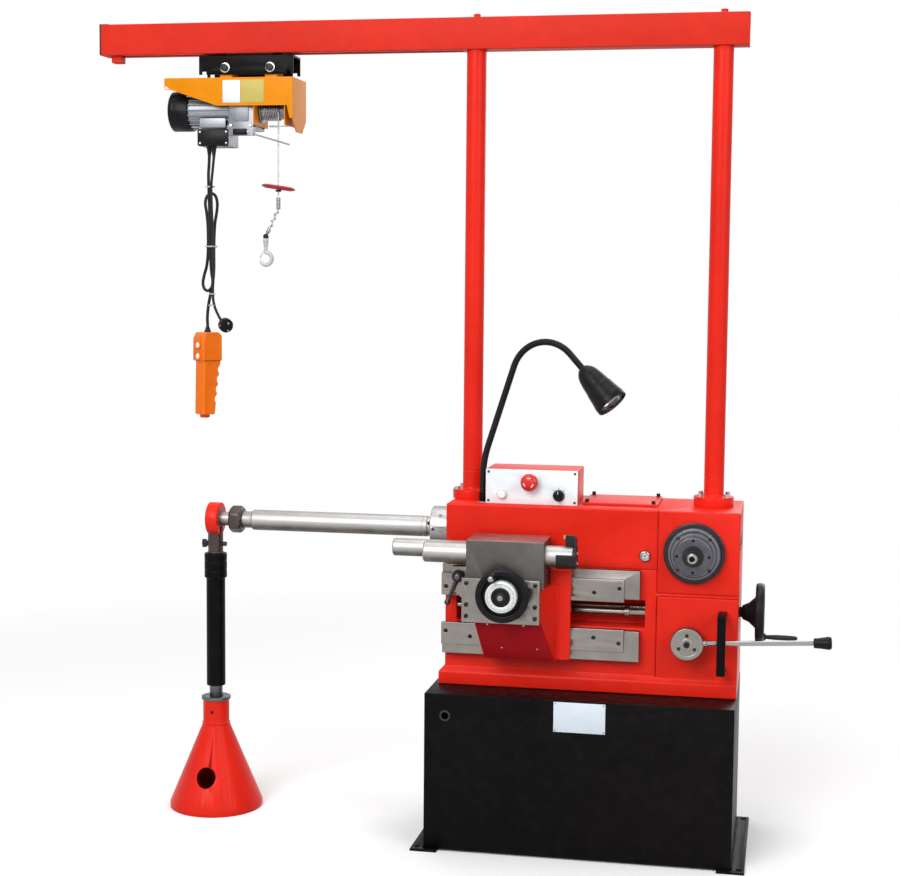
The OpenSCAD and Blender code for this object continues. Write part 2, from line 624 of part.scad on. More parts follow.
// Grooved pulley on an axis along X
module pulley(d, at) {
    bar_x([pulley_x[0], pulley_x[0] + pulley_x[1]], at[0], at[1], d);
    for (x = [pulley_x[0], pulley_x[0] + pulley_x[1] - pulley_lip[0]])
        bar_x([x, x + pulley_lip[0]], at[0], at[1], d + pulley_lip[1]);
}
pulley_lip = [2.5, 12];

module motor_pulley() color(dark_steel) {
    bar_x([motor_at[3] + casting_t[2] + play, pulley_x[0] + cut], motor_y, motor_at[0], shaft_d[0]);
    pulley(pulley_d[0], [motor_y, motor_at[0]]);
}

module input_shaft() color(dark_steel) {
    bar_x([gearbox[0], body_x[1] - casting_t[2] - play], input_axis[0], input_axis[1], shaft_d[1]);
    spur(gear_teeth[1], gear_x, input_axis, 180 / gear_teeth[1]);
    pulley(pulley_d[1], input_axis);
}

nose_screw = [8, 14];
module drum_spindle() color(steel) difference() {
    union() {
        cone_x([nose_x[0], nose_x[1]], drum_axis[0], drum_axis[1], [spindle_d[1], spindle_d[0]]);
        bar_x([nose_x[1], nose_x[2]], drum_axis[0], drum_axis[1], spindle_d[0]);
        bar_x([nose_x[2] - cut, body_x[0] + casting_t[0] + cut], drum_axis[0], drum_axis[1], spindle_d[2]);
        bar_x([body_x[0] + casting_t[0], body_x[1] - casting_t[2] - play], drum_axis[0], drum_axis[1],
            spindle_d[3]);
        spur(gear_teeth[0], gear_x, drum_axis, 0);
    }
    bar_x([nose_x[0] - cut, nose_x[1] + arbor_tail], drum_axis[0], drum_axis[1], arbor[2]);
    bar_y([drum_axis[0] - spindle_d[0], drum_axis[0] - spindle_d[0] * half + nose_screw[1]],
        nose_x[1] + nose_screw[0], drum_axis[1], nose_screw[0]);
}
arbor_tail = 30;

module arbor() color(chrome) {
    y = drum_axis[0];
    z = drum_axis[1];
    cone_x([arbor[0], arbor[0] + arbor[4]], y, z, [arbor[1] - arbor[4], arbor[1]]);
    bar_x([arbor[0] + arbor[4], nose_x[0]], y, z, arbor[1]);
    bar_x([nose_x[0], nose_x[1] + arbor_tail], y, z, arbor[2]);
    bar_x([nut[1] + play, arbor[0]], y, z, arbor[2]);
    bar_x([stand[0] - stand[1] * half - clear, nut[1] + play], y, z, arbor[3]);
}

module arbor_nut() color(dark_steel) difference() {
    y = drum_axis[0];
    z = drum_axis[1];
    intersection() {
        translate([nut[0], y, z]) rotate([0, 90, 0])
            cylinder(d = nut[2] / cos(30), h = nut[1] - nut[0], $fn = 6);
        union() {
            cone_x([nut[0], nut[0] + nut[3]], y, z, [nut[2] - nut[3], nut[2] + nut[3]]);
            bar_x([nut[0] + nut[3], nut[1] - nut[3]], y, z, nut[2] + nut[3]);
            cone_x([nut[1] - nut[3], nut[1]], y, z, [nut[2] + nut[3], nut[2] - nut[3]]);
        }
    }
    bar_x([nut[0] - cut, nut[1] + cut], y, z, arbor[3] + fit * 2);
}

disc_screws = 4;
disc_screw_share = 0.83;
module disc_spindle() color(dark_steel) difference() {
    x = disc_axis[0];
    z = disc_axis[1];
    f = [for (out = disc_out) gearbox_front - out];
    union() {
        bar_y([f[0], gearbox_front - play], x, z, disc_d[0]);
        bar_y([f[1], f[0]], x, z, disc_d[1]);
        bar_y([f[2], f[1]], x, z, disc_d[2]);
        bar_y([f[3], f[2]], x, z, disc_d[3]);
        bar_y([gearbox_front - play, body_y[0] + disc_shaft[1]], x, z, disc_shaft[0]);
    }
    for (k = [0:disc_screws - 1])
        translate([x, 0, z]) rotate([0, k * 360 / disc_screws, 0])
            bar_y([f[2] - cut, f[2] + nose_screw[0]], disc_d[2] * half * disc_screw_share, 0, nose_screw[0]);
    bar_y([f[3] - cut, f[3] + nose_screw[1]], x, z, nose_screw[1]);
}

module lead_screw() color(steel) {
    y = lead_screw_at[0];
    z = lead_screw_at[1];
    bar_x([body_x[0] + casting_t[2], side_wheel[0] - side_wheel[3]], y, z, lead_screw_at[2]);
    // Thrust collar inside the gearbox
    bar_x([body_x[1] - casting_t[0] - screw_head[1], body_x[1] - casting_t[0] - play], y, z,
        lead_screw_at[2] + wheel_hub[1]);
}

wheel_hub = [40, 34, 26];
module side_handwheel() color(black) {
    y = lead_screw_at[0];
    z = lead_screw_at[1];
    rim = side_wheel[2] * half - side_wheel[3] * half;
    difference() {
        union() {
            bar_x([body_x[1] + play, body_x[1] + screw_head[1]], y, z, wheel_hub[2]);
            cone_x([body_x[1] + screw_head[1], side_wheel[0] + side_wheel[1] * half], y, z,
                [wheel_hub[1], wheel_hub[0] * 2]);
            // Dished web
            cone_x([side_wheel[0] - play, side_wheel[0] + side_wheel[1] * half], y, z,
                [wheel_hub[0] * 2, rim * 2]);
            bar_x([side_wheel[0], side_wheel[0] + side_wheel[1]], y, z, side_wheel[2]);
        }
        cone_x([side_wheel[0] + side_wheel[1] * half, side_wheel[0] + side_wheel[1] + cut], y, z,
            [rim * 2 - side_wheel[3] * 2, rim * 2]);
        bar_x([body_x[1] - cut, side_wheel[0] - side_wheel[3]], y, z, lead_screw_at[2]);
    }
    bar_x([side_wheel[0] + side_wheel[1] * half - cut, side_wheel[0] + side_wheel[1]], y, z, wheel_hub[1]);
    bar_x([side_wheel[0] + side_wheel[1] - cut, side_wheel[0] + side_wheel[1] + side_grip[0]],
        y, z - side_grip[2], side_grip[1]);
}

module trip_rod() color(steel) {
    y = trip_rod_at[0];
    z = trip_rod_at[1];
    bar_x([body_x[0] + casting_t[2], gearbox[0] + casting_t[0]], y, z, trip_rod_at[2]);
    bar_x([trip_collar[0], trip_collar[0] + trip_collar[1]], y, z, trip_collar[2]);
}

// Clamp lug of the saddle flange: left end and foot
lug_left = -325;
lug_foot = 652;
module saddle() color(red) difference() {
    union() {
        // Box that carries the cross slide, sloped on both sides and below
        intersection() {
            prism_y([apron[0], saddle_back], [
                [slide_x[0], slide_z[0]], [saddle_x[1], slide_z[0]], [saddle_x[1], apron[2]],
                [saddle_x[2], apron[2]], [slide_x[0] + dovetail[2], bracket[2]],
                [slide_x[0], bracket[2] + dovetail[2]]]);
            prism_x([slide_x[0], saddle_x[1]], [
                [saddle_back, apron[2]], [saddle_back, slide_z[0]], [apron[0], slide_z[0]],
                [apron[0], bracket[2]], [apron[1], apron[2]]]);
            prism_z([apron[2], slide_z[0]], [
                [slide_x[0], saddle_back], [saddle_x[1], saddle_back], [saddle_x[1], flange_front],
                [bracket[1], apron[0]], [slide_x[0] + dovetail[2], apron[0]],
                [slide_x[0], apron[0] + dovetail[2]]]);
        }
        // Flange against the keepers, higher beside the cross slide, with the clamp lug
        prism_y([flange_front, saddle_back], [
            [lug_left, slide_z[0]], [lug_left, lug_foot], [slide_x[0], bracket[2] + dovetail[2]],
            [slide_x[0] + dovetail[2], bracket[2]], [saddle_x[2], apron[2]], [saddle_x[0], apron[2]],
            [saddle_x[0], joint_z[0]], [slide_x[1] + clear, joint_z[0]], [slide_x[1] + clear, slide_z[0]]]);
        span([lug_left, flange_front, slide_z[0] - cut], [slide_x[0] - clear, saddle_back, joint_z[0]]);
        // Dovetail
        prism_y([apron[0], saddle_back], [
            [way_mid - dovetail[0], slide_z[0] - cut], [way_mid + dovetail[0], slide_z[0] - cut],
            [way_mid + dovetail[0], slide_z[0]], [way_mid + dovetail[1], slide_z[0] + dovetail[2]],
            [way_mid - dovetail[1], slide_z[0] + dovetail[2]], [way_mid - dovetail[0], slide_z[0]]]);
        // Tongue that runs between the keepers
        span([tongue_x[0], saddle_back - cut, lower_keeper_z[1] + play],
            [tongue_x[1], channel[2] - clear, upper_keeper_z[0] - play]);
    }
    for (b = [lead_screw_at, trip_rod_at])
        bar_x([tongue_x[0] - cut, tongue_x[1] + cut], b[0], b[1], b[2] + fit * 2);
    bar_y([apron[0] - cut, flange_front], front_axis[0], front_axis[1], front_wheel[3] + fit * 2);
    bar_y([flange_front - cut, saddle_back - flange_t * half], clamp_lever[0], clamp_lever[1],
        clamp_lever[4] + fit * 2);
}

module saddle_clamp_lever() color(black) {
    x = clamp_lever[0];
    z = clamp_lever[1];
    front = flange_front - play;
    bar_y([front - clamp_lever[4] * 2, front], x, z, clamp_lever[2]);
    bar_y([front - cut, saddle_back - flange_t * half - play], x, z, clamp_lever[4]);
    translate([x, front - clamp_lever[4], z]) rotate([0, 180 + clamp_lean, 0]) {
        cylinder(d = clamp_lever[4], h = clamp_lever[3]);
        translate([0, 0, clamp_lever[3]]) sphere(d = clamp_ball);
    }
}
clamp_lean = 22;
clamp_ball = 16;

module cross_slide() color(grey_iron) difference() {
    union() {
        span([slide_x[0], slide_y[0], slide_z[0] + skin], [slide_x[1], saddle_back, slide_z[1]]);
        span([slide_x[0], saddle_back - cut, joint_z[0] + clear], [slide_x[1], slide_y[1], slide_z[1]]);
    }
    foot = dovetail[0] + skin;
    head = dovetail[1] + skin;
    top = slide_z[0] + dovetail[2] + skin;
    prism_y([slide_y[0] - cut, slide_y[1] + cut], [
        [way_mid - foot, slide_z[0] - cut], [way_mid + foot, slide_z[0] - cut], [way_mid + foot, slide_z[0]],
        [way_mid + head, top], [way_mid - head, top], [way_mid - foot, slide_z[0]]]);
    for (b = [large_bar, small_bar])
        bar_x([slide_x[0] - cut, slide_x[1] + cut], b[0], bar_z, b[1] + fit * 2);
}

bracket_screws = [[11, 15], [11, 43], [180, 15], [180, 43], [11, 96], [180, 96]];
module screw_bracket() color(steel) difference() {
    span([bracket[0], slide_y[0] - bracket_t, bracket[2]], [bracket[1], slide_y[0], bracket[3]]);
    bar_y([slide_y[0] - bracket_t - cut, slide_y[0] + cut], front_axis[0], front_axis[1],
        front_wheel[3] + fit * 2);
    for (p = bracket_screws)
        bar_y([slide_y[0] - bracket_t - cut, slide_y[0] - bracket_t * half], bracket[0] + p[0],
            bracket[2] + p[1], nose_screw[0]);
}

plate_front = slide_y[0] - bracket_t;
module front_handwheel() {
    rim_back = plate_front - front_wheel_y[0];
    rim_front = rim_back - front_wheel_y[1];
    r = front_wheel[0] * half;
    color(black) difference() {
        union() {
            bar_y([rim_front, rim_back], front_axis[0], front_axis[1], front_wheel[0]);
            bar_y([rim_back, plate_front - play], front_axis[0], front_axis[1], front_wheel[2]);
            bar_y([rim_front - front_wheel_y[0], rim_front + cut], front_axis[0], front_axis[1],
                front_wheel[2]);
        }
        // Dish inside the rim
        difference() {
            bar_y([rim_front - cut, rim_back - front_wheel_y[1] * half], front_axis[0], front_axis[1],
                (r - front_wheel[1]) * 2);
            bar_y([rim_front - cut * 2, rim_back], front_axis[0], front_axis[1], front_wheel[2]);
        }
    }
    color(steel)
        bar_y([plate_front - cut, flange_front - clear], front_axis[0], front_axis[1], front_wheel[3]);
    color(chrome) translate([front_axis[0], 0, front_axis[1]]) rotate([0, grip_turn, 0])
        bar_y([rim_front - front_grip[2], rim_back], 0, front_grip[0], front_grip[1]);
}
grip_turn = -113;

// Feed dial: mark count, marks to a long mark, mark width and depth, short and long mark lengths
dial_marks = [40, 5];
mark_size = [0.8, 0.6, 4, 7];
module feed_dial() color(white) {
    x = front_axis[0];
    z = front_axis[1];
    rim_front = plate_front - front_wheel_y[0] - front_wheel_y[1];
    dial_front = rim_front - feed_dial_size[1];
    difference() {
        bar_y([dial_front, rim_front + front_wheel_y[1] * half - play], x, z, feed_dial_size[0]);
        bar_y([dial_front - cut, rim_front + front_wheel_y[1]], x, z, front_wheel[2] + fit * 2);
        for (k = [0:dial_marks[0] - 1]) translate([x, 0, z]) rotate([0, k * 360 / dial_marks[0], 0])
            span([-mark_size[0] * half, dial_front - cut,
                feed_dial_size[0] * half - mark_size[k % dial_marks[1] == 0 ? 3 : 2]],
                [mark_size[0] * half, dial_front + mark_size[1], feed_dial_size[0]]);
    }
}

module large_tool_bar() color(chrome) bar_x([large_bar[2], large_bar[3]], large_bar[0], bar_z, large_bar[1]);
module small_tool_bar() color(chrome) bar_x([small_bar[2], small_bar[3]], small_bar[0], bar_z, small_bar[1]);

module tool_holder() {
    end = large_bar[3] + tool_holder_size[2];
    start = end - tool_holder_size[0];
    d = large_bar[1] + tool_holder_size[1] * 2;
    color(black) difference() {
        bar_x([start, end], large_bar[0], bar_z, d);
        bar_x([start - cut, large_bar[3]], large_bar[0], bar_z, large_bar[1]);
        span([start - cut, large_bar[0] - d, bar_z + tool_holder_size[3]],
            [large_bar[3], large_bar[0] + d, bar_z + d]);
    }
    // Tool post on the end cap, with the bit lying over the bar
    color(black) span([large_bar[3] + fit, large_bar[0] - cutter[1] * half, bar_z],
        [end - fit, large_bar[0] + cutter[1] * half, bar_z + cutter[2] - screw_head[3]]);
    color(dark_steel) span([end - cutter[3] - cutter[0], large_bar[0] - cutter[1] * half,
        bar_z + large_bar[1] * half + clear], [end - cutter[3] + screw_head[3],
        large_bar[0] + cutter[1] * half, bar_z + cutter[2]]);
}

knob_taper_share = 0.8;
module feed_lever() {
    hub_y = [gearbox_front - lever_hub[0], gearbox_front - lever_hub[1]];
    rod_y = gearbox_front - (lever_hub[0] + lever_hub[1]) * half;
    knob = lever_rod[3] - lever_rod[2];
    color(steel) {
        bar_y(hub_y, lever_axis[0], lever_axis[1], lever_hub[2]);
        bar_y([hub_y[1] - cut, body_y[0] + casting_t[2]], lever_axis[0], lever_axis[1], shaft_d[0]);
        translate([lever_axis[0], rod_y, lever_axis[1]]) rotate([0, 90 - lever_rod[1], 0])
            cylinder(d = lever_rod[0], h = lever_rod[2] + cut);
    }
    color(black) translate([lever_axis[0], rod_y, lever_axis[1]]) rotate([0, 90 - lever_rod[1], 0])
        translate([0, 0, lever_rod[2]]) {
            cylinder(d1 = lever_knob[0], d2 = lever_knob[1], h = knob * knob_taper_share);
            translate([0, 0, knob * knob_taper_share])
                cylinder(d1 = lever_knob[1], d2 = lever_knob[0], h = knob * (1 - knob_taper_share));
        }
}

// Stem of a panel button, from the panel face inwards
module button_stem(b)
    bar_y([panel_front - cut, box_y[0] + stem[1]], b[0], box_z[0] + b[1], stem[0]);
head_foot_share = 0.5;
head_side_share = 0.8;
head_face_share = 0.7;
module emergency_stop() color(red) {
    z = box_z[0] + estop[1];
    foot = panel_front - estop[3] * head_foot_share;
    side = panel_front - estop[3] * head_side_share;
    button_stem(estop);
    bar_y([foot, panel_front], estop[0], z, stem[0]);
    bar_y([side, foot], estop[0], z, estop[2]);
    translate([estop[0], side, z]) rotate([90, 0, 0])
        cylinder(d1 = estop[2], d2 = estop[2] * head_face_share, h = side - panel_front + estop[3]);
}
button_skirt = [3, 3];
module start_button() color(white) {
    z = box_z[0] + start_at[1];
    button_stem(start_at);
    bar_y([panel_front - start_at[3], panel_front - button_skirt[1]], start_at[0], z,
        start_at[2] - button_skirt[0] * 2);
    bar_y([panel_front - start_at[3], panel_front], start_at[0], z, stem[0]);
}
pointer_t = 8;
module selector_switch() color(black) {
    z = box_z[0] + selector_at[1];
    button_stem(selector_at);
    bar_y([panel_front - selector_at[3] * half, panel_front - play], selector_at[0], z, selector_at[2]);
    r = selector_at[2] * half;
    span([selector_at[0] - pointer_t * half, panel_front - selector_at[3], z - r],
        [selector_at[0] + pointer_t * half, panel_front - selector_at[3] * half + cut, z + r]);
}

// Length of the neck that carries an axle, and the notches in the plates' lower edges
neck_x = 24;
notch = [12, 8];
module trolley() color(black) difference() {
    w = trolley_size[0] * half;
    union() {
        for (s = [-1, 1])
            span([trolley_x[0], beam_y + s * w, trolley_size[2]],
                [trolley_x[1], beam_y + s * (w - trolley_size[1]), plate_top]);
        span([trolley_x[0], beam_y - w, plate_top - trolley_size[1]], [trolley_x[1], beam_y + w, plate_top]);
        for (x = axle_x)
            span([x - neck_x * half, beam_y - wheel_size[3] * half, plate_top - cut],
                [x + neck_x * half, beam_y + wheel_size[3] * half, wheel_z + neck_x * half]);
    }
    for (x = axle_x) bar_y([beam_y - neck_x, beam_y + neck_x], x, wheel_z, wheel_size[2] + fit * 2);
    for (x = lug_x)
        bar_y([beam_y - trolley_size[0], beam_y + trolley_size[0]], x, lug_bolt_z, lug_bolt[0] + fit * 2);
    for (x = [trolley_x[0] + notch[1], trolley_x[1] - notch[0] - notch[1]])
        span([x, beam_y - trolley_size[0], trolley_size[2] - cut],
            [x + notch[0], beam_y + trolley_size[0], trolley_size[2] + notch[1]]);
}

// A pair of wheels on one axle
module wheel_pair(x) color(steel) {
    inner = wheel_size[3] * half + cut;
    outer = inner + wheel_size[1];
    bar_y([beam_y - outer, beam_y + outer], x, wheel_z, wheel_size[2]);
    bar_y([beam_y - outer, beam_y - inner], x, wheel_z, wheel_size[0]);
    bar_y([beam_y + inner, beam_y + outer], x, wheel_z, wheel_size[0]);
}
module left_trolley_wheels() wheel_pair(axle_x[0]);
module right_trolley_wheels() wheel_pair(axle_x[1]);

// Lower edge of the cover: swoop end, drum skirt start and end, inner edge of the leg
skirt_x = [-1040, -978, -790, -782];
// Lugs and their bolts: X of each, bolt diameter, lug width and bolt height
lug_x = [-963, -842];
lug_bolt = [12, 32];
lug_bolt_z = 1960;
leg_foot_share = [0.30, 0.72];
side_gap = 3;
module hoist_cover() color(orange) {
    t = cover_t;
    w = trolley_size[0] * half;
    leg = (cover_z[2] + cover_z[3]) * half;
    for (y = [cover_y[0], cover_y[1] - t])
        prism_y([y, y + t], [
            [cover_x[0], cover_z[0]], [cover_x[1], cover_z[0]], [cover_x[1], leg],
            [skirt_x[3], leg], [skirt_x[2], cover_z[2]], [skirt_x[1], cover_z[2]],
            [skirt_x[0], (cover_z[1] + cover_z[2]) * half], [cover_x[0] + rail_out * half, cover_z[1]],
            [cover_x[0], cover_z[1] + casting_t[2]]]);
    span([cover_x[0], cover_y[0], cover_z[0] - t], [cover_x[1], cover_y[1], cover_z[0]]);
    // End plate with its tapered leg
    prism_x([cover_x[1] - t, cover_x[1]], [
        [cover_y[0], cover_z[0]], [cover_y[1], cover_z[0]], [cover_y[1], leg],
        [cover_y * [1 - leg_foot_share[1], leg_foot_share[1]], cover_z[3]],
        [cover_y * [1 - leg_foot_share[0], leg_foot_share[0]], cover_z[3]], [cover_y[0], leg]]);
    // Plates beside the drum
    for (x = [drum[0] - t - side_gap, drum[1] + side_gap])
        difference() {
            span([x, cover_y[0] + t - skin, cover_z[3] + rail_out * half],
                [x + t, cover_y[1] - t + skin, cover_z[0] - cut]);
            bar_x([x - cut, x + t + cut], beam_y, hoist_axis[0], drum_shaft + fit * 2);
        }
    // Lugs between the trolley plates, with their bolts
    for (x = lug_x) {
        span([x - lug_bolt[1] * half, beam_y - w + trolley_size[1], cover_z[0] - cut],
            [x + lug_bolt[1] * half, beam_y + w - trolley_size[1], plate_top - trolley_size[1]]);
        bar_y([beam_y - w - cut, beam_y + w + cut], x, lug_bolt_z, lug_bolt[0]);
        bar_y([beam_y - w - bolt_head[1], beam_y - w], x, lug_bolt_z, bolt_head[0]);
        bar_y([beam_y + w, beam_y + w + bolt_head[1]], x, lug_bolt_z, bolt_head[0]);
    }
}

// Motor fin count each half turn, fin height and thickness
motor_fins = 11;
fin_size = [5, 3];
drum_shaft = 20;
fan_recess_share = 0.7;
module hoist_motor() {
    a = hoist_axis[0];
    core = hoist_axis[2] - 2 * fin_size[0];
    box_front = beam_y - hoist_box[0] * half;
    box_foot = a - hoist_box[1] * half;
    color(black) difference() {
        bar_x([hoist_x[0], hoist_x[1]], beam_y, a, hoist_axis[1]);
        bar_x([hoist_x[0] - cut, hoist_x[0] + fin_size[0]], beam_y, a, hoist_axis[1] * fan_recess_share);
    }
    color(steel) {
        bar_x([hoist_x[1], hoist_x[2]], beam_y, a, core);
        for (k = [0:motor_fins * 2 - 1])
            translate([0, beam_y, a]) rotate([(k + half) * 180 / motor_fins, 0, 0])
                span([hoist_x[1], -fin_size[1] * half, core * half - cut],
                    [hoist_x[2], fin_size[1] * half, hoist_axis[2] * half]);
        span([hoist_x[2], box_front, box_foot],
            [hoist_x[3], beam_y + hoist_box[0] * half, a + hoist_box[1] * half]);
        // Base that carries the terminal box
        span([terminal[0], terminal_y[0] + fin_size[0], terminal[3] - cut],
            [terminal[1], terminal_y[1] - fin_size[0], a - core * half + fin_size[0]]);
        // Switch bracket under the gearbox, and the limit lever
        span([hoist_x[2], box_front, box_foot - limit_lever[2]],
            [hoist_x[3], box_front + rail_out * half, box_foot + cut]);
        translate([hoist_x[3] - limit_lever[2], box_front + limit_lever[0], box_foot - limit_lever[2] * half])
            rotate([0, 90 + limit_lever[2], 0]) cylinder(d = limit_lever[0], h = limit_lever[1]);
    }
    color(black) span([terminal[0], terminal_y[0], terminal[2]], [terminal[1], terminal_y[1], terminal[3]]);
}

// Rope winding: points round the drum from the flange to the place where the rope drops
turn_rings = 24;
rope_sides = 6;
winding = [for (k = [0:turn_rings * rope[1]]) let (a = 360 * k / turn_rings)
    [rope_down[0] - (rope[1] - k / turn_rings) * rope[2], beam_y - rope_r * cos(a),
        hoist_axis[0] - rope_r * sin(a)]];
// Both ends run straight on for one rope diameter
first_end = winding[0] - rope[0] * unit(winding[1] - winding[0]);
last_end = winding[len(winding) - 1] - [0, 0, rope[0]];
winding_points = concat([first_end], winding, [last_end]);
// Least gap between one turn and the next, measured on the points
winding_gap = min([for (i = [0:len(winding) - 1 - turn_rings])
    min([for (j = [-2:2]) let (m = i + turn_rings + j) if (m < len(winding)) norm(winding[m] - winding[i])])])
    - rope[0];
echo(least_gap_of_rope_winding = winding_gap);
module rope_drum() color(steel) {
    bar_x([drum[0], drum[1]], beam_y, hoist_axis[0], drum[2]);
    bar_x([drum[0], drum[0] + drum_flange], beam_y, hoist_axis[0], drum[3]);
    bar_x([drum[1] - drum_flange, drum[1]], beam_y, hoist_axis[0], drum[3]);
    bar_x([hoist_x[3] + play, drum[1] + bolt_head[1]], beam_y, hoist_axis[0], drum_shaft);
    swept(winding_points, rope[0], rope_sides);
}
drum_flange = 4;

module hoist_rope() color(steel)
    bar_z([rope_down[1] + rope_down[3] * half, hoist_axis[0] - rope[0] - play], rope_down[0], rope_y, rope[0]);

disc_edge_share = [0.84, 0.4];
module rope_stop_disc() {
    x = rope_down[0];
    z = rope_down[1];
    r = rope_down[2] * half;
    t = rope_down[3] * half;
    swivel = [x - hook_at[1], hook_at[2]];
    low = [x, z - ferrule[2]];
    color(red) translate([x, rope_y, z]) rotate([0, hook_at[0], 0]) rotate_extrude() polygon([
        [0, -t], [r * disc_edge_share[0], -t], [r, -t * disc_edge_share[1]], [r, t * disc_edge_share[1]],
        [r * disc_edge_share[0], t], [0, t]]);
    // Rope end, ferrule and the short run down to the swivel
    color(steel) {
        bar_z([low[1], z], x, rope_y, rope[0]);
        bar_z([z - ferrule[2], z - ferrule[1]], x, rope_y, ferrule[0]);
        translate([low[0], rope_y, low[1]]) rotate([0, atan2(swivel[0] - low[0], swivel[1] - low[1]), 0])
            cylinder(d = rope[0] + skin * 2, h = norm(swivel - low) - hook_size[2] * half - play);
    }
}

hook_sweep = 250;
module hook() color(white) {
    x = rope_down[0] - hook_at[1];
    bend = hook_size[1] + hook_size[0] * half;
    translate([x, rope_y, hook_at[2]]) sphere(d = hook_size[2]);
    bar_z([hook_at[3] + bend, hook_at[2]], x, rope_y, hook_size[0] - play);
    translate([x, rope_y, hook_at[3]]) rotate([90, 0, 0]) rotate([0, 0, 90 - hook_sweep])
        rotate_extrude(angle = hook_sweep) translate([bend, 0]) circle(d = hook_size[0]);
}

// Latch: hinge height over the bend, thickness, length and lean
latch = [19, 2, 19, 26];
module hook_latch() color(steel) {
    t = latch[1] * half;
    w = hook_size[0] * half * half;
    translate([rope_down[0] - hook_at[1] - hook_size[0] * half - t - play, rope_y, hook_at[3] + latch[0]])
        rotate([0, latch[3], 0]) span([-t, -w, -latch[2]], [t, w, 0]);
}

module in_handset() translate([handset[0], handset[1], 0]) rotate(handset[2]) children();
finger_count = 4;
// Finger groove: radius, spacing, depth, distance of the first below the shoulder
finger = [12, 26, 5, 24];
module pendant_handset() in_handset() {
    d = handset_size[0] * half;
    w = handset_size[1] * half;
    top = handset_size[2];
    shoulder = handset_size[3];
    foot = handset_size[4];
    color(orange) {
        difference() {
            prism_y([-w, w], [[-d + end_cap[1], top], [d - end_cap[1], top], [d, top - end_cap[1]], [d, shoulder],
                [-d, shoulder], [-d, top - end_cap[1] * 2]]);
            for (z = [pendant_button[1], pendant_button[2]])
                bar_x([-d - cut, -d + stem[1]], 0, z, pendant_button[0] + fit * 2);
        }
        difference() {
            prism_y([-grip_size[4] * half, grip_size[4] * half], [
                [grip_size[0], shoulder + cut], [grip_size[2], shoulder + cut], [grip_size[3], foot],
                [grip_size[1], foot]]);
            for (k = [0:finger_count - 1])
                let (drop = finger[3] + k * finger[1], back = grip_size[2]
                    + (grip_size[3] - grip_size[2]) * drop / (shoulder - foot))
                bar_y([-w, w], back + finger[0] - finger[2], shoulder - drop, finger[0] * 2);
        }
    }
    color(red) bar_z([foot - end_cap[1], foot + cut], -end_cap[2], 0, end_cap[0]);
}

// A pendant button, pushed along the handset's own X
module pendant_push(z) color(white) in_handset()
    bar_x([-handset_size[0] * half - pendant_button[3], -handset_size[0] * half + stem[1] - pendant_button[3]],
        0, z, pendant_button[0]);
module up_button() pendant_push(pendant_button[1]);
module down_button() pendant_push(pendant_button[2]);

// Swept tube along points, with rings held level in a turning frame
function unit(v) = v / norm(v);
function tangent(p, i) = unit(p[min(i + 1, len(p) - 1)] - p[max(i - 1, 0)]);
function ring(p, i, r, n) =
    let (t = tangent(p, i), s = unit(cross(t, abs(t[1]) > 0.9 ? [1, 0, 0] : [0, 1, 0])), u = cross(s, t))
    [for (k = [0:n - 1]) p[i] + r * (cos(k * 360 / n) * s + sin(k * 360 / n) * u)];
module swept(p, d, n) {
    last = len(p) - 1;
    points = [for (i = [0:last]) each ring(p, i, d * half, n)];
    sides = [for (i = [0:last - 1], k = [0:n - 1]) let (a = i * n + k, b = i * n + (k + 1) % n)
        each [[a, b, b + n], [a, b + n, a + n]]];
    polyhedron(points, concat([[for (k = [n - 1:-1:0]) k]], sides, [[for (k = [0:n - 1]) last * n + k]]));
}

// Pendant cable: down, folded up once for its spare length, and down to the handset
cable_points = [
    [-1015, 24, 1760], [-1015, 24, 1740], [-1017, 24, 1715], [-1021, 24, 1690], [-1023, 25, 1660],
    [-1021, 26, 1620], [-1017, 26, 1580], [-1014, 26, 1540], [-1013, 26, 1500], [-1014, 26, 1460],
    [-1016, 26, 1425], [-1020, 27, 1402], [-1027, 29, 1392], [-1033, 34, 1392], [-1037, 39, 1400],
    [-1038, 42, 1425], [-1037, 43, 1460], [-1034, 43, 1500], [-1032, 43, 1540], [-1031, 43, 1580],
    [-1030, 43, 1612], [-1027, 46, 1632], [-1020, 50, 1640], [-1012, 51, 1635], [-1007, 49, 1615],
    [-1006, 46, 1580], [-1007, 44, 1540], [-1008, 43, 1500], [-1009, 43, 1460], [-1012, 42, 1420],
    [-1018, 40, 1385], [-1025, 37, 1350], [-1026, 35, 1315], [-1025, 34, 1295], [-1025, 34, 1277]
];
// Mains lead: down beside the cable and out to its plug
lead_points = [
    [-1000, 16, 1760], [-1000, 16, 1735], [-1004, 15, 1700], [-1008, 14, 1660], [-1006, 14, 1620],
    [-1002, 14, 1580], [-1000, 14, 1540], [-1000, 14, 1500], [-1001, 14, 1460], [-1004, 14, 1420],
    [-1006, 14, 1385], [-1003, 15, 1360], [-997, 17, 1340], [-989, 18, 1322], [-984, 18, 1311],
    [-979, 16, 1304], [-973, 7, 1302]
];
module pendant_cable() color(black) {
    swept(cable_points, cable_d[0], 8);
    swept(lead_points, cable_d[1], 8);
}

// Plug, in line with the end of its lead: neck as a share of its length, pins as a share of its radius
plug_neck_share = 0.45;
pin_share = 0.5;
lead_end = len(lead_points) - 1;
lead_way = tangent(lead_points, lead_end);
module mains_plug() color(black)
    translate(lead_points[lead_end]) rotate([0, acos(lead_way[2]), atan2(lead_way[1], lead_way[0])]) {
        neck = plug_size[0] * plug_neck_share;
        cylinder(d1 = plug_size[2], d2 = plug_size[1], h = neck);
        translate([0, 0, neck]) cylinder(d = plug_size[1], h = plug_size[0] - neck);
        for (s = [-1, 1]) translate([0, s * plug_size[1] * half * pin_share, plug_size[0] - cut])
            cylinder(d = plug_size[3], h = plug_size[4]);
    }

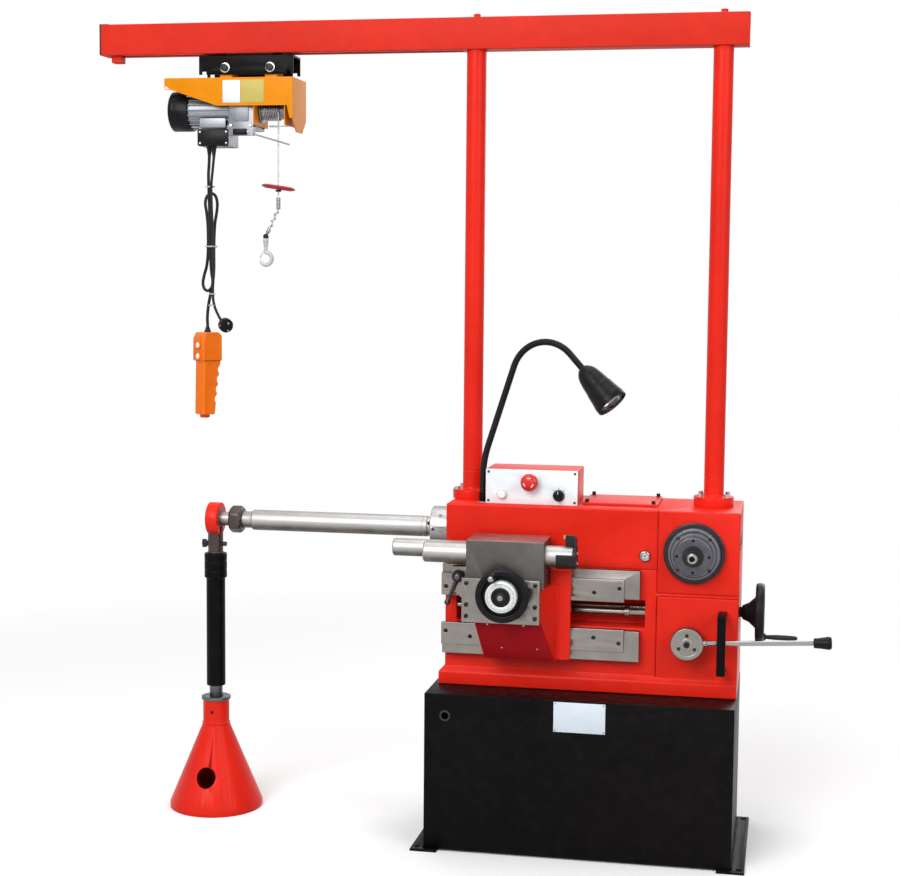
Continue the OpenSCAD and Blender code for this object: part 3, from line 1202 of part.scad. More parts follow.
// Lamp arm, drawn in its own upright plane through the foot
lean = lamp_low[2];
function aim(a) = [sin(a), cos(a)];
low_end = [lamp_low[1] * (1 - cos(lean)), lamp_low[0] + lamp_low[1] * sin(lean)];
high_start = low_end + lamp_high[0] * aim(lean);
high_center = high_start + lamp_high[1] * [cos(lean), -sin(lean)];
high_end = high_center + lamp_high[1] * [-cos(lamp_high[2]), sin(lamp_high[2])];
head_at = high_end + lamp_end * aim(lamp_high[2]);
module in_lamp_plane() translate([lamp_at[0], lamp_at[1], 0]) rotate(lamp_turn) children();
// Arm points: up from the foot, round the low bend and the high bend, and on to the head
arm_sides = 16;
arm_steps = [4, 22];
function in_plane(p) = [p[0], 0, p[1]];
function bend_points(center, r, from, to, n) =
    [for (k = [0:n]) let (a = from + (to - from) * k / n) in_plane(center + r * [-cos(a), sin(a)])];
arm_points = concat(
    [[0, 0, body_top + lamp_arm[2]]],
    bend_points([lamp_low[1], lamp_low[0]], lamp_low[1], 0, lean, arm_steps[0]),
    bend_points(high_center, lamp_high[1], lean, lamp_high[2], arm_steps[1]),
    [in_plane(head_at)]);
module lamp_gooseneck() color(black) in_lamp_plane() {
    translate([0, 0, body_top]) cylinder(d = lamp_arm[1], h = lamp_arm[2]);
    swept(arm_points, lamp_arm[0], arm_sides);
}

module lamp_head() in_lamp_plane() translate([head_at[0], 0, head_at[1]]) rotate([0, lamp_high[2], 0]) {
    r = lamp_head_size * half;
    socket = lamp_head_size[2];
    long = lamp_head_size[3];
    color(black) rotate_extrude() polygon([
        [0, 0], [r[0], 0], [r[0], socket], [r[1], long - stem[1]], [r[1], long], [r[1] - lamp_shade[0], long],
        [r[1] - lamp_shade[0], long - stem[1]], [r[0] - lamp_shade[0], socket], [0, socket]]);
    color(white) translate([0, 0, socket + lamp_shade[1]]) sphere(r = lamp_shade[1]);
    color(white) translate([0, 0, socket - cut]) cylinder(d = lamp_shade[1], h = lamp_shade[1]);
}

module support_ring() color(red) difference() {
    union() {
        bar_x([stand[0] - stand[1] * half, stand[0] + stand[1] * half], drum_axis[0], drum_axis[1], stand[2]);
        bar_z([ring_stem[1], drum_axis[1] - arbor[3] * half - cut], stand[0], drum_axis[0], ring_stem[0]);
    }
    bar_x([stand[0] - stand[1], stand[0] + stand[1]], drum_axis[0], drum_axis[1], arbor[3] + fit * 2);
    bar_x([stand[0] - ring_stem[0], stand[0] + ring_stem[0]], drum_axis[0], stand_screw[1],
        stand_screw[0] + fit * 2);
}

module stand_tube() color(black) difference() {
    union() {
        bar_z([stand_tube_size[1], ring_stem[1]], stand[0], drum_axis[0], stand_tube_size[0]);
        bar_z([stand_tube_size[3], stand_tube_size[1]], stand[0], drum_axis[0], stand_tube_size[2]);
    }
    bar_z([stand_tube_size[3] - cut, inner_tube[1] + rail_out], stand[0], drum_axis[0],
        inner_tube[0] + fit * 2);
}

// Clamp screw through the ring stem, with wings on its left end
wing_t = 7;
module stand_clamp_screw() color(black) {
    y = drum_axis[0];
    left = stand[0] - stand_screw[2];
    bar_x([left, stand[0] + stand_screw[3]], y, stand_screw[1], stand_screw[0]);
    span([left, y - wing_t * half, stand_screw[1] - stand_screw[4] * half],
        [left + stand_screw[0], y + wing_t * half, stand_screw[1] + stand_screw[4] * half]);
}

module stand_inner_tube() color(steel)
    bar_z([cone_z[1] + play, inner_tube[1]], stand[0], drum_axis[0], inner_tube[0]);

module stand_cone() color(red) translate([stand[0], drum_axis[0], 0]) difference() {
    base = cone_d[0] * half;
    neck = cone_d[1] * half;
    bore = inner_tube[0] * half;
    rotate_extrude() polygon([
        [base, 0], [base, cone_z[0]], [neck, cone_z[1]], [neck, cone_z[2]], [cone_d[2] * half, cone_z[2]],
        [cone_d[2] * half, cone_z[3]], [bore, cone_z[3]], [bore, cone_z[1]],
        [bore, cone_z[1] - cone_wall[0] * 2], [neck - cone_wall[0], cone_z[1] - cone_wall[0] * 2],
        [base - cone_wall[0], cone_z[0]], [base - cone_wall[0], 0]]);
    bar_y([-cone_d[0], 0], 0, cone_wall[2], cone_wall[1]);
}

cabinet();
cabinet_rear_cover();
foot_rails();
bed_casting();
headstock_casting();
headstock_lid();
way_strips();
socket_screws();
oil_sight();
lever_guard();
control_box();
control_panel();
columns();
beam();
motor();
drive_belt();
drum_spindle();
arbor();
arbor_nut();
input_shaft();
motor_pulley();
disc_spindle();
lead_screw();
side_handwheel();
trip_rod();
saddle();
saddle_clamp_lever();
cross_slide();
screw_bracket();
front_handwheel();
feed_dial();
large_tool_bar();
small_tool_bar();
tool_holder();
feed_lever();
emergency_stop();
start_button();
selector_switch();
trolley();
left_trolley_wheels();
right_trolley_wheels();
hoist_cover();
hoist_motor();
rope_drum();
hoist_rope();
rope_stop_disc();
hook();
hook_latch();
pendant_cable();
mains_plug();
pendant_handset();
up_button();
down_button();
lamp_gooseneck();
lamp_head();
support_ring();
stand_tube();
stand_clamp_screw();
stand_inner_tube();
stand_cone();
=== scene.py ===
from math import cos, pi, radians, sin

import bmesh
import bpy
from mathutils import Matrix, Vector


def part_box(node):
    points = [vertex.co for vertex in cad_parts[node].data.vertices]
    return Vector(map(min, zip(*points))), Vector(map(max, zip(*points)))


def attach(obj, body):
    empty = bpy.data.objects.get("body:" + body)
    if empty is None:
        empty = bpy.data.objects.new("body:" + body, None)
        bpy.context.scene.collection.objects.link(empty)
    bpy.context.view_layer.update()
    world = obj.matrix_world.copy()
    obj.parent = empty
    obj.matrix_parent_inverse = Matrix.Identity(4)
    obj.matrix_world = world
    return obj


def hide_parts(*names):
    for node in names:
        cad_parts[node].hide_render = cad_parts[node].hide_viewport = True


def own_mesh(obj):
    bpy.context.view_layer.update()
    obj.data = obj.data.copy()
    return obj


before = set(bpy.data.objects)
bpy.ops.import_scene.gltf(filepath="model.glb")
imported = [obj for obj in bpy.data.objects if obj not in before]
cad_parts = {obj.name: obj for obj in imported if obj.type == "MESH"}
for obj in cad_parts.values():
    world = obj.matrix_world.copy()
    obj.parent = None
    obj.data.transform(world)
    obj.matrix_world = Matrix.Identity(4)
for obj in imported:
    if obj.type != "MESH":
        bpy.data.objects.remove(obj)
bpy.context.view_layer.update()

bl_info = {
    "name": "Brake drum lathe",
    "version": (1, 0, 0),
    "blender": (4, 5, 0),
    "location": "3D View > Sidebar > Lathe",
    "description": "Dresses the drum lathe's solids with finished pieces",
    "category": "Object",
}

MM = 0.001
UP, DOWN = (0, 0, 1), (0, 0, -1)
FRONT, BACK = (0, -1, 0), (0, 1, 0)
LEFT, RIGHT = (-1, 0, 0), (1, 0, 0)

# Places that several pieces share, in millimetres, as the solids have them
SPINDLE_Y, SPINDLE_Z = 37, 781
COLUMNS_X, COLUMN_FOOT_Z = (-309, 308), 860
BEAM_Y, BEAM_LEFT, BEAM_FOOT, BEAM_TOP = 34, -1308.2, 1999, 2077
HOIST_Z, FAN_END_X, COVER_FACE_Y = 1852, -1113, -29.6
ROPE_X, ROPE_Y, STOP_DISC_Z, HOOK_SWIVEL_Z, HOOK_BEND_Z = -823.0, 9.7, 1654, 1528, 1471
HANDSET_X, HANDSET_TURN, BUTTONS_Z = -1025, 54, {"up_button": 1243, "down_button": 1214}
PANEL_Y, STOP_AT, START_AT, SELECTOR_AT = -58, (-144.5, 917), (-216, 884), (-72, 884)
SIGHT_X, SIGHT_Z, GEARBOX_FACE_Y = 149, 746, -94
DISC_X, DISC_Z = 270, 759
LEAD_SCREW_AT, TRIP_ROD_AT, LEVER_AT = (0, -50, 609), (0, -80, 602), (259, 541)
SIDE_GRIP_R, LEVER_TILT = 60, 3
CLAMP_X, CLAMP_Z, CLAMP_LEAN = -307, 688, 22
FRONT_WHEEL_AT, FRONT_GRIP_R, FRONT_GRIP_TURN, DIAL_MARKS = (-176, -255, 665), 52, -113, 80
BARS_Z, LARGE_BAR_Y, SMALL_BAR_Y = 753, -198, -146
STAND_X, STAND_SCREW_Z = -1006, 713
WAY_SCREWS, WAY_SCREWS_X = 8, (-343, 91)

# Where one finish of a casting ends and the next begins, a hair off the face itself
BEAM_CAPS_X = (-1305.9, 368.9)
COVER_BOLTS_OUT, COVER_BOLTS_LOW = 29.2, 1945
FAN_COVER_RIGHT, TERMINAL_BOX_TOP, TERMINAL_BOX_RIGHT = -1061.9, 1803.1, -952.9
HANDSET_CAP_TOP, SLIDE_BAND_LOW, CUTTER_LOW, CUTTER_RIGHT = 1059.9, 790.9, 780.2, -21
RING_SHANK_TOP, RING_SHANK_HALF, CONE_TOP = 734, 21, 290.5


def colour(name, note, value):
    return bpy.props.FloatVectorProperty(
        name=name, description=note, subtype="COLOR", size=3, min=0.0, max=1.0, default=value
    )


def length(name, note, value):
    return bpy.props.FloatProperty(
        name=name, description=note, subtype="DISTANCE", unit="LENGTH", min=0.0, default=value
    )


class DrumLatheColours(bpy.types.PropertyGroup):
    """Colours of the finishes."""

    red_paint: colour("Red paint", "Gloss enamel on castings, columns and beam", (0.70, 0.018, 0.008))
    black_paint: colour("Black paint", "Satin coat on the cabinet", (0.0028, 0.0021, 0.0024))
    bare_steel: colour("Bare steel", "Ground ways, screws and plates", (0.27, 0.25, 0.23))
    dark_steel: colour("Dark steel", "Oiled turned steel", (0.115, 0.117, 0.13))
    blackened_steel: colour("Blackened steel", "Screws and blackened parts", (0.012, 0.011, 0.012))
    chromed_steel: colour("Chromed steel", "Grips, pins and bright trims", (0.33, 0.325, 0.32))
    iron: colour("Grey iron", "Ground top of the cross slide", (0.105, 0.097, 0.092))
    panel: colour("Panel", "Pale control panel", (0.72, 0.79, 0.83))
    orange_paint: colour("Orange paint", "Hoist cover", (0.72, 0.24, 0.004))
    orange_plastic: colour("Orange plastic", "Pendant handset", (0.82, 0.16, 0.002))
    white_plastic: colour("White plastic", "Buttons, dial and hook", (0.80, 0.80, 0.78))
    red_plastic: colour("Red plastic", "Stop button and small caps", (0.62, 0.02, 0.018))
    black_plastic: colour("Black plastic", "Knobs, wheels and caps", (0.005, 0.005, 0.006))
    cast_alloy: colour("Cast alloy", "Hoist motor and gearbox", (0.22, 0.23, 0.25))
    cable_rubber: colour("Cable rubber", "Pendant cable and lead", (0.008, 0.008, 0.009))
    zinc_steel: colour("Zinc steel", "Rope, latch and wheels", (0.42, 0.43, 0.45))


class DrumLatheSizes(bpy.types.PropertyGroup):
    """Sizes that the looks add to the solids."""

    cast_edge: length("Casting edge", "Edge radius of the painted castings", 0.0035)
    sheet_edge: length("Sheet edge", "Edge radius of folded sheet", 0.0015)
    machined_edge: length("Machined edge", "Edge break of machined parts", 0.0007)
    screw_pitch: length("Screw pitch", "Pitch of the lead screw", 0.005)
    rope_lay: length("Rope lay", "Length of one twist of the rope", 0.024)
    strands: bpy.props.IntProperty(
        name="Rope strands", description="Strands round the rope", default=6, min=3, max=12
    )


def hue(name):
    return tuple(getattr(bpy.context.scene.drum_lathe_colours, name))


def size(name):
    """A size in millimetres."""
    return getattr(bpy.context.scene.drum_lathe_sizes, name) / MM


def effect(name, gives, wire, **takes):
    """A shader node group over a place in space, which several finishes share, built once."""
    found = bpy.data.node_groups.get(name)
    if found:
        return found
    group = bpy.data.node_groups.new(name, "ShaderNodeTree")
    group.interface.new_socket("Place", in_out="INPUT", socket_type="NodeSocketVector")
    for label, value in takes.items():
        socket = group.interface.new_socket(label.capitalize(), in_out="INPUT", socket_type="NodeSocketFloat")
        socket.default_value = value
    group.interface.new_socket(gives, in_out="OUTPUT", socket_type="NodeSocketFloat")
    start, end = group.nodes.new("NodeGroupInput"), group.nodes.new("NodeGroupOutput")
    wire(Wires(group), start.outputs, end.inputs)
    return group


class Wires:
    """Short ways to add and join nodes in one tree."""

    def __init__(self, tree):
        self.tree = tree

    def add(self, kind, sockets=(), **settings):
        node = self.tree.nodes.new(kind)
        for key, value in settings.items():
            setattr(node, key, value)
        for key, value in dict(sockets).items():
            self.feed(value, node.inputs[key])
        return node

    def feed(self, value, socket):
        if isinstance(value, bpy.types.NodeSocket):
            self.tree.links.new(value, socket)
        else:
            socket.default_value = value

    def math(self, kind, a, b=0.0, clamp=False):
        return self.add("ShaderNodeMath", {0: a, 1: b}, operation=kind, use_clamp=clamp).outputs[0]

    def mix(self, share, a, b):
        node = self.add("ShaderNodeMix", {0: share, 6: a, 7: b}, data_type="RGBA")
        return node.outputs[2]

    def spread(self, value, low, high, to_low=0.0, to_high=1.0):
        node = self.add("ShaderNodeMapRange", {0: value, 1: low, 2: high, 3: to_low, 4: to_high})
        return node.outputs[0]

    def noise(self, place, scale, detail=3.0, rough=0.55):
        node = self.add("ShaderNodeTexNoise", {"Vector": place, "Scale": scale, "Detail": detail, "Roughness": rough})
        return node.outputs["Fac"]

    def group(self, tree, **sockets):
        node = self.add("ShaderNodeGroup", node_tree=tree)
        for key, value in sockets.items():
            self.feed(value, node.inputs[key.replace("_", " ").capitalize()])
        return node.outputs


def edge_wear():
    """Mask of rubbed edges, broken up by a fine pattern."""

    def wire(w, i, o):
        soft = w.add("ShaderNodeBevel", {"Radius": i["Radius"]}, samples=4)
        flat = w.add("ShaderNodeNewGeometry")
        turn = w.add("ShaderNodeVectorMath", {0: soft.outputs[0], 1: flat.outputs["Normal"]}, operation="DOT_PRODUCT")
        edge = w.spread(turn.outputs["Value"], 0.985, 0.86)
        broken = w.spread(w.noise(i["Place"], i["Scale"], 5.0, 0.7), 0.42, 0.62)
        w.feed(w.math("MULTIPLY", w.math("MULTIPLY", edge, broken), i["Amount"], True), o["Mask"])

    return effect("Rubbed edges", "Mask", wire, radius=0.0015, scale=180.0, amount=0.5)


def soft_patches():
    """Slow change of shade over a surface, with a finer cloud in it."""

    def wire(w, i, o):
        wide = w.noise(i["Place"], i["Scale"], 3.0)
        fine = w.noise(i["Place"], w.math("MULTIPLY", i["Scale"], 9.0), 4.0, 0.65)
        both = w.math("ADD", w.math("MULTIPLY", wide, 0.7), w.math("MULTIPLY", fine, 0.3))
        w.feed(w.spread(both, 0.34, 0.66), o["Mask"])

    return effect("Soft patches", "Mask", wire, scale=4.0)


def fine_grain():
    """Height of a sprayed, moulded or cast skin."""

    def wire(w, i, o):
        wave = w.noise(i["Place"], i["Scale"], 2.0, 0.4)
        dust = w.noise(i["Place"], w.math("MULTIPLY", i["Scale"], 4.2), 3.0, 0.6)
        w.feed(w.math("ADD", w.math("MULTIPLY", wave, 0.75), w.math("MULTIPLY", dust, 0.25)), o["Height"])

    return effect("Fine grain", "Height", wire, scale=300.0)


def cutting_lines():
    """Lines left by turning or grinding, across the first axis of Place."""

    def wire(w, i, o):
        part = w.add("ShaderNodeSeparateXYZ", {0: i["Place"]})
        line = w.add(
            "ShaderNodeTexNoise", {"W": part.outputs[0], "Scale": i["Scale"], "Detail": 5.0, "Roughness": 0.75},
            noise_dimensions="1D",
        )
        slow = w.noise(i["Place"], 22.0, 3.0)
        w.feed(w.math("MULTIPLY", line.outputs["Fac"], w.spread(slow, 0.3, 0.7, 0.75, 1.1)), o["Lines"])

    return effect("Cutting lines", "Lines", wire, scale=700.0)


def settled_dust():
    """Mask of dust and oily film, thicker on upward faces."""

    def wire(w, i, o):
        flat = w.add("ShaderNodeNewGeometry")
        part = w.add("ShaderNodeSeparateXYZ", {0: flat.outputs["Normal"]})
        up = w.spread(part.outputs[2], 0.2, 1.0, 0.25, 1.0)
        cloud = w.spread(w.noise(i["Place"], i["Scale"], 6.0, 0.7), 0.45, 0.75)
        w.feed(w.math("MULTIPLY", w.math("MULTIPLY", up, cloud), i["Amount"], True), o["Mask"])

    return effect("Settled dust", "Mask", wire, scale=30.0, amount=0.2)


def painted_underside_shade():
    """Mask of painted shade on the underside of bare steel, darker where the faces turn down."""

    def wire(w, i, o):
        flat = w.add("ShaderNodeNewGeometry")
        part = w.add("ShaderNodeSeparateXYZ", {0: flat.outputs["Normal"]})
        low = w.spread(part.outputs[2], -0.05, -0.5)
        cloud = w.spread(w.noise(i["Place"], i["Scale"], 4.0), 0.3, 0.7, 0.8, 1.0)
        w.feed(w.math("MULTIPLY", w.math("MULTIPLY", low, cloud), i["Amount"], True), o["Mask"])

    return effect("Painted underside shade", "Mask", wire, scale=30.0, amount=0.9)


# Shade of a cutting line against its base colour, roughness of a clear coat, and depth of the skin in metres
LINE_SHADE, COAT_ROUGHNESS, SKIN_DEPTH = 0.45, 0.12, 0.0006


def finish(name, base, rough, metal=0.0, coat=0.0, grain=None, lines=None, patches=(4.0, 0.08), wear=None, dust=None,
           turn=(0, 0, 0), shine=0.35, oil=None):
    """A material: base colour with patches, rubbed edges, dust and painted underside shade, and a skin of grain or
    cutting lines.
    """
    found = bpy.data.materials.get(name)
    if found:
        return found
    made = bpy.data.materials.new(name)
    made.use_nodes = True
    tree = made.node_tree
    tree.nodes.clear()
    w = Wires(tree)
    out = w.add("ShaderNodeOutputMaterial")
    skin = w.add("ShaderNodeBsdfPrincipled")
    w.feed(skin.outputs[0], out.inputs["Surface"])
    place = w.add("ShaderNodeTexCoord").outputs["Object"]
    if any(turn):
        place = w.add("ShaderNodeMapping", {"Vector": place, "Rotation": tuple(radians(a) for a in turn)}).outputs[0]
    shade = w.group(soft_patches(), place=place, scale=patches[0])["Mask"]
    dark = tuple(c * (1 - patches[1]) for c in base) + (1,)
    light = tuple(min(1, c * (1 + patches[1])) for c in base) + (1,)
    tone = w.mix(shade, dark, light)
    gloss = w.spread(shade, 0.0, 1.0, rough[0], rough[1])
    height = None
    if lines:
        cut = w.group(cutting_lines(), place=place, scale=lines[0])["Lines"]
        tone = w.mix(w.spread(cut, 0.3, 0.7, 0.0, lines[2]), tone, tuple(c * LINE_SHADE for c in base) + (1,))
        gloss = w.math("ADD", gloss, w.spread(cut, 0.3, 0.7, -0.05, 0.08))
        height = (cut, lines[1])
    if grain:
        height = (w.group(fine_grain(), place=place, scale=grain[0])["Height"], grain[1])
    if wear:
        rub = w.group(edge_wear(), place=place, radius=wear[1], amount=wear[2])["Mask"]
        tone = w.mix(rub, tone, tuple(wear[0]) + (1,))
        gloss = w.math("ADD", gloss, w.math("MULTIPLY", rub, 0.12))
    if dust:
        film = w.group(settled_dust(), place=place, scale=dust[1], amount=dust[2])["Mask"]
        tone = w.mix(film, tone, tuple(dust[0]) + (1,))
        gloss = w.math("ADD", gloss, w.math("MULTIPLY", film, 0.35), True)
    # Painted shade: the base colour turns dark where the faces turn down
    if oil:
        tone = w.mix(w.group(painted_underside_shade(), place=place, scale=oil[1], amount=oil[2])["Mask"], tone,
                     tuple(oil[0]) + (1,))
    w.feed(tone, skin.inputs["Base Color"])
    w.feed(gloss, skin.inputs["Roughness"])
    skin.inputs["Metallic"].default_value = metal
    skin.inputs["Specular IOR Level"].default_value = shine
    if coat:
        skin.inputs["Coat Weight"].default_value = coat
        skin.inputs["Coat Roughness"].default_value = COAT_ROUGHNESS
    if height:
        bump = w.add("ShaderNodeBump", {"Height": height[0], "Strength": height[1], "Distance": SKIN_DEPTH})
        w.feed(bump.outputs[0], skin.inputs["Normal"])
    return made


GREY_DUST, BROWN_FILM = (0.42, 0.40, 0.37), (0.16, 0.12, 0.08)
# Turn of the pattern, in degrees, that lays cutting lines across each axis
CUT_ALONG = {"x": (0, 0, 0), "y": (0, 0, 90), "z": (0, 90, 0)}


def red_paint():
    return finish("Red enamel", hue("red_paint"), (0.30, 0.39), coat=0.03, grain=(240, 0.10), patches=(3.0, 0.10),
                  shine=0.11, wear=((0.30, 0.012, 0.010), 0.0014, 0.4), dust=(GREY_DUST, 26.0, 0.05))


def black_paint():
    return finish("Black satin coat", hue("black_paint"), (0.34, 0.46), grain=(700, 0.16), shine=0.06,
                  patches=(3.0, 0.25), wear=((0.07, 0.068, 0.066), 0.0014, 0.55), dust=(GREY_DUST, 40.0, 0.035))


def bare_steel(axis="x"):
    return finish("Turned steel " + axis, hue("bare_steel"), (0.26, 0.36), metal=1.0, lines=(900, 0.12, 0.45),
                  patches=(7.0, 0.10), wear=((0.75, 0.74, 0.72), 0.0010, 0.6), dust=(BROWN_FILM, 60.0, 0.10),
                  turn=CUT_ALONG[axis])


def bare_steel_y():
    return bare_steel("y")


def ground_bar():
    # Its dark underside is painted shade, broken up by a cloud
    return finish("Ground bar steel", (0.40, 0.392, 0.386), (0.40, 0.50), metal=1.0, lines=(900, 0.12, 0.30),
                  patches=(7.0, 0.08), wear=((0.62, 0.61, 0.6), 0.0010, 0.5), dust=(BROWN_FILM, 60.0, 0.08),
                  oil=((0.085, 0.078, 0.066), 40.0, 0.96))


def apron_painted_shade():
    # A darker copy of the red enamel, which paints the shade on the saddle's faces that turn down and to the front
    return finish("Apron enamel with painted shade", (0.33, 0.006, 0.010), (0.36, 0.46), grain=(240, 0.10), patches=(3.0, 0.12),
                  shine=0.06, wear=((0.20, 0.01, 0.010), 0.0014, 0.4), dust=(GREY_DUST, 26.0, 0.04))


def beam_shaded_enamel():
    # A darker copy of the red enamel, which paints shade over the whole beam
    return finish("Beam enamel with painted shade", (0.58, 0.026, 0.014), (0.40, 0.50), grain=(240, 0.10), patches=(3.0, 0.12),
                  shine=0.06, wear=((0.30, 0.012, 0.010), 0.0014, 0.4), dust=(GREY_DUST, 26.0, 0.05))


def dark_steel(axis="x"):
    return finish("Oiled dark steel " + axis, hue("dark_steel"), (0.26, 0.40), metal=1.0, lines=(800, 0.10, 0.4),
                  patches=(9.0, 0.16), wear=((0.5, 0.5, 0.52), 0.0010, 0.7), dust=(BROWN_FILM, 70.0, 0.12),
                  turn=CUT_ALONG[axis])


def dark_steel_y():
    return dark_steel("y")


def dark_steel_z():
    return dark_steel("z")


def blackened_steel():
    return finish("Blackened steel", hue("blackened_steel"), (0.34, 0.48), metal=0.2, grain=(1200, 0.08), shine=0.25,
                  patches=(14.0, 0.2), wear=((0.28, 0.28, 0.28), 0.0007, 0.7), dust=(GREY_DUST, 60.0, 0.06))


def chromed_steel():
    return finish("Chromed steel", hue("chromed_steel"), (0.13, 0.24), metal=1.0, lines=(1400, 0.04, 0.2),
                  patches=(10.0, 0.06), wear=((0.82, 0.82, 0.8), 0.0008, 0.4), dust=(BROWN_FILM, 60.0, 0.05))


def grey_iron():
    return finish("Ground grey iron", hue("iron"), (0.32, 0.46), metal=0.85, lines=(420, 0.16, 0.35),
                  patches=(9.0, 0.2), wear=((0.5, 0.48, 0.46), 0.0012, 0.7), dust=(BROWN_FILM, 50.0, 0.2),
                  turn=CUT_ALONG["y"])


def ground_band():
    return finish("Ground top band", (0.42, 0.40, 0.37), (0.26, 0.36), metal=0.9, lines=(500, 0.14, 0.4),
                  patches=(9.0, 0.14), wear=((0.6, 0.58, 0.56), 0.0012, 0.6), dust=(BROWN_FILM, 50.0, 0.14))


def panel_paint():
    return finish("Pale panel", hue("panel"), (0.34, 0.42), coat=0.1, grain=(900, 0.06), patches=(6.0, 0.03),
                  wear=((0.5, 0.5, 0.5), 0.0007, 0.3), dust=(GREY_DUST, 60.0, 0.05))


def orange_paint():
    return finish("Orange enamel", hue("orange_paint"), (0.36, 0.46), grain=(300, 0.10), patches=(5.0, 0.09),
                  shine=0.08, wear=((0.45, 0.16, 0.01), 0.0010, 0.5), dust=(GREY_DUST, 40.0, 0.05))


def orange_plastic():
    return finish("Orange plastic", hue("orange_plastic"), (0.30, 0.40), shine=0.25, grain=(900, 0.12),
                  patches=(10.0, 0.06), wear=((0.86, 0.26, 0.05), 0.0010, 0.4), dust=(GREY_DUST, 50.0, 0.04))


def white_plastic():
    return finish("White plastic", hue("white_plastic"), (0.26, 0.34), coat=0.2, grain=(900, 0.05),
                  patches=(16.0, 0.04), wear=((0.62, 0.61, 0.58), 0.0006, 0.4), dust=(GREY_DUST, 80.0, 0.10))


def red_plastic():
    return finish("Red plastic", hue("red_plastic"), (0.24, 0.34), coat=0.1, shine=0.3, grain=(900, 0.05),
                  patches=(12.0, 0.06), wear=((0.7, 0.08, 0.06), 0.0006, 0.4), dust=(GREY_DUST, 80.0, 0.05))


def black_plastic():
    return finish("Black plastic", hue("black_plastic"), (0.28, 0.40), shine=0.12, grain=(1100, 0.10),
                  patches=(12.0, 0.25), wear=((0.06, 0.06, 0.06), 0.0008, 0.6), dust=(GREY_DUST, 60.0, 0.05))


def cast_alloy():
    return finish("Cast alloy", hue("cast_alloy"), (0.36, 0.50), metal=0.9, grain=(520, 0.30), patches=(10.0, 0.12),
                  wear=((0.8, 0.8, 0.81), 0.0008, 0.7), dust=((0.2, 0.19, 0.18), 60.0, 0.16))


def belt_rubber():
    return finish("Belt rubber", (0.02, 0.02, 0.021), (0.6, 0.75), grain=(1500, 0.3), patches=(10.0, 0.3),
                  wear=((0.08, 0.08, 0.08), 0.0008, 0.5), dust=(GREY_DUST, 60.0, 0.12))


def cable_rubber():
    return finish("Cable rubber", hue("cable_rubber"), (0.42, 0.54), shine=0.2, grain=(1600, 0.14),
                  patches=(16.0, 0.3), wear=((0.05, 0.05, 0.05), 0.0006, 0.4), dust=(GREY_DUST, 50.0, 0.06))


def zinc_steel():
    return finish("Zinc steel", hue("zinc_steel"), (0.26, 0.40), metal=1.0, grain=(1200, 0.06), patches=(30.0, 0.16),
                  wear=((0.8, 0.8, 0.8), 0.0006, 0.5), dust=((0.25, 0.24, 0.22), 80.0, 0.12))


def stained_steel():
    return finish("Brown stained steel", (0.085, 0.062, 0.06), (0.30, 0.42), metal=0.8, lines=(700, 0.10, 0.35),
                  patches=(14.0, 0.2), wear=((0.34, 0.31, 0.30), 0.0009, 0.7), dust=(GREY_DUST, 60.0, 0.06))


def turned_iron(name, base, patches, metal=0.85, bright=(0.42, 0.42, 0.44)):
    return finish(name, base, (0.30, 0.42), metal=metal, lines=(700, 0.12, 0.35), patches=patches,
                  wear=(bright, 0.0009, 0.7), dust=(GREY_DUST, 60.0, 0.08), turn=CUT_ALONG["y"])


def black_iron():
    return turned_iron("Black turned iron y", (0.030, 0.029, 0.032), (12.0, 0.2), 0.8, (0.30, 0.30, 0.32))


def step_iron():
    return turned_iron("Grey step of the disc", (0.125, 0.132, 0.150), (14.0, 0.3))


def disc_iron():
    return turned_iron("Dark disc face", (0.105, 0.107, 0.122), (14.0, 0.25))


def hook_enamel():
    return finish("Hook enamel", (0.47, 0.47, 0.49), (0.28, 0.40), grain=(900, 0.08), patches=(40.0, 0.14),
                  wear=((0.16, 0.16, 0.17), 0.0010, 0.6), dust=(GREY_DUST, 60.0, 0.10))


def crimson_plastic():
    return finish("Crimson plastic", (0.34, 0.012, 0.028), (0.34, 0.46), grain=(700, 0.08), patches=(26.0, 0.16),
                  shine=0.15, wear=((0.55, 0.12, 0.12), 0.0008, 0.5), dust=(GREY_DUST, 60.0, 0.06))


def olive_plate():
    return finish("Olive plate", (0.50, 0.40, 0.10), (0.42, 0.52), grain=(1400, 0.06), patches=(20.0, 0.06),
                  shine=0.2, wear=((0.30, 0.22, 0.06), 0.0005, 0.4), dust=(GREY_DUST, 90.0, 0.06))


def dial_enamel():
    return finish("Dial enamel", (0.66, 0.68, 0.69), (0.30, 0.40), metal=0.2, grain=(1400, 0.05),
                  patches=(30.0, 0.04), wear=((0.42, 0.42, 0.43), 0.0005, 0.5), dust=(GREY_DUST, 90.0, 0.06))


def nylon():
    return finish("Pale nylon", (0.42, 0.42, 0.41), (0.36, 0.46), grain=(1400, 0.05), patches=(40.0, 0.08), shine=0.3)


def brass():
    return finish("Brass tip", (0.60, 0.38, 0.12), (0.24, 0.34), metal=1.0, grain=(1200, 0.05), patches=(30.0, 0.1))


def plate_metal():
    return finish("Bare plate", (0.62, 0.69, 0.76), (0.34, 0.42), metal=0.15, grain=(1400, 0.08),
                  patches=(18.0, 0.05), wear=((0.4, 0.42, 0.44), 0.0005, 0.4), dust=(GREY_DUST, 90.0, 0.10))


def sight_glass():
    """Clear dome of the oil sight."""
    found = bpy.data.materials.get("Sight glass")
    if found:
        return found
    made = finish("Sight glass", (0.86, 0.92, 0.90), (0.03, 0.06), patches=(40.0, 0.02), grain=(900, 0.01))
    skin = next(n for n in made.node_tree.nodes if n.type == "BSDF_PRINCIPLED")
    skin.inputs["Transmission Weight"].default_value = 0.9
    return made


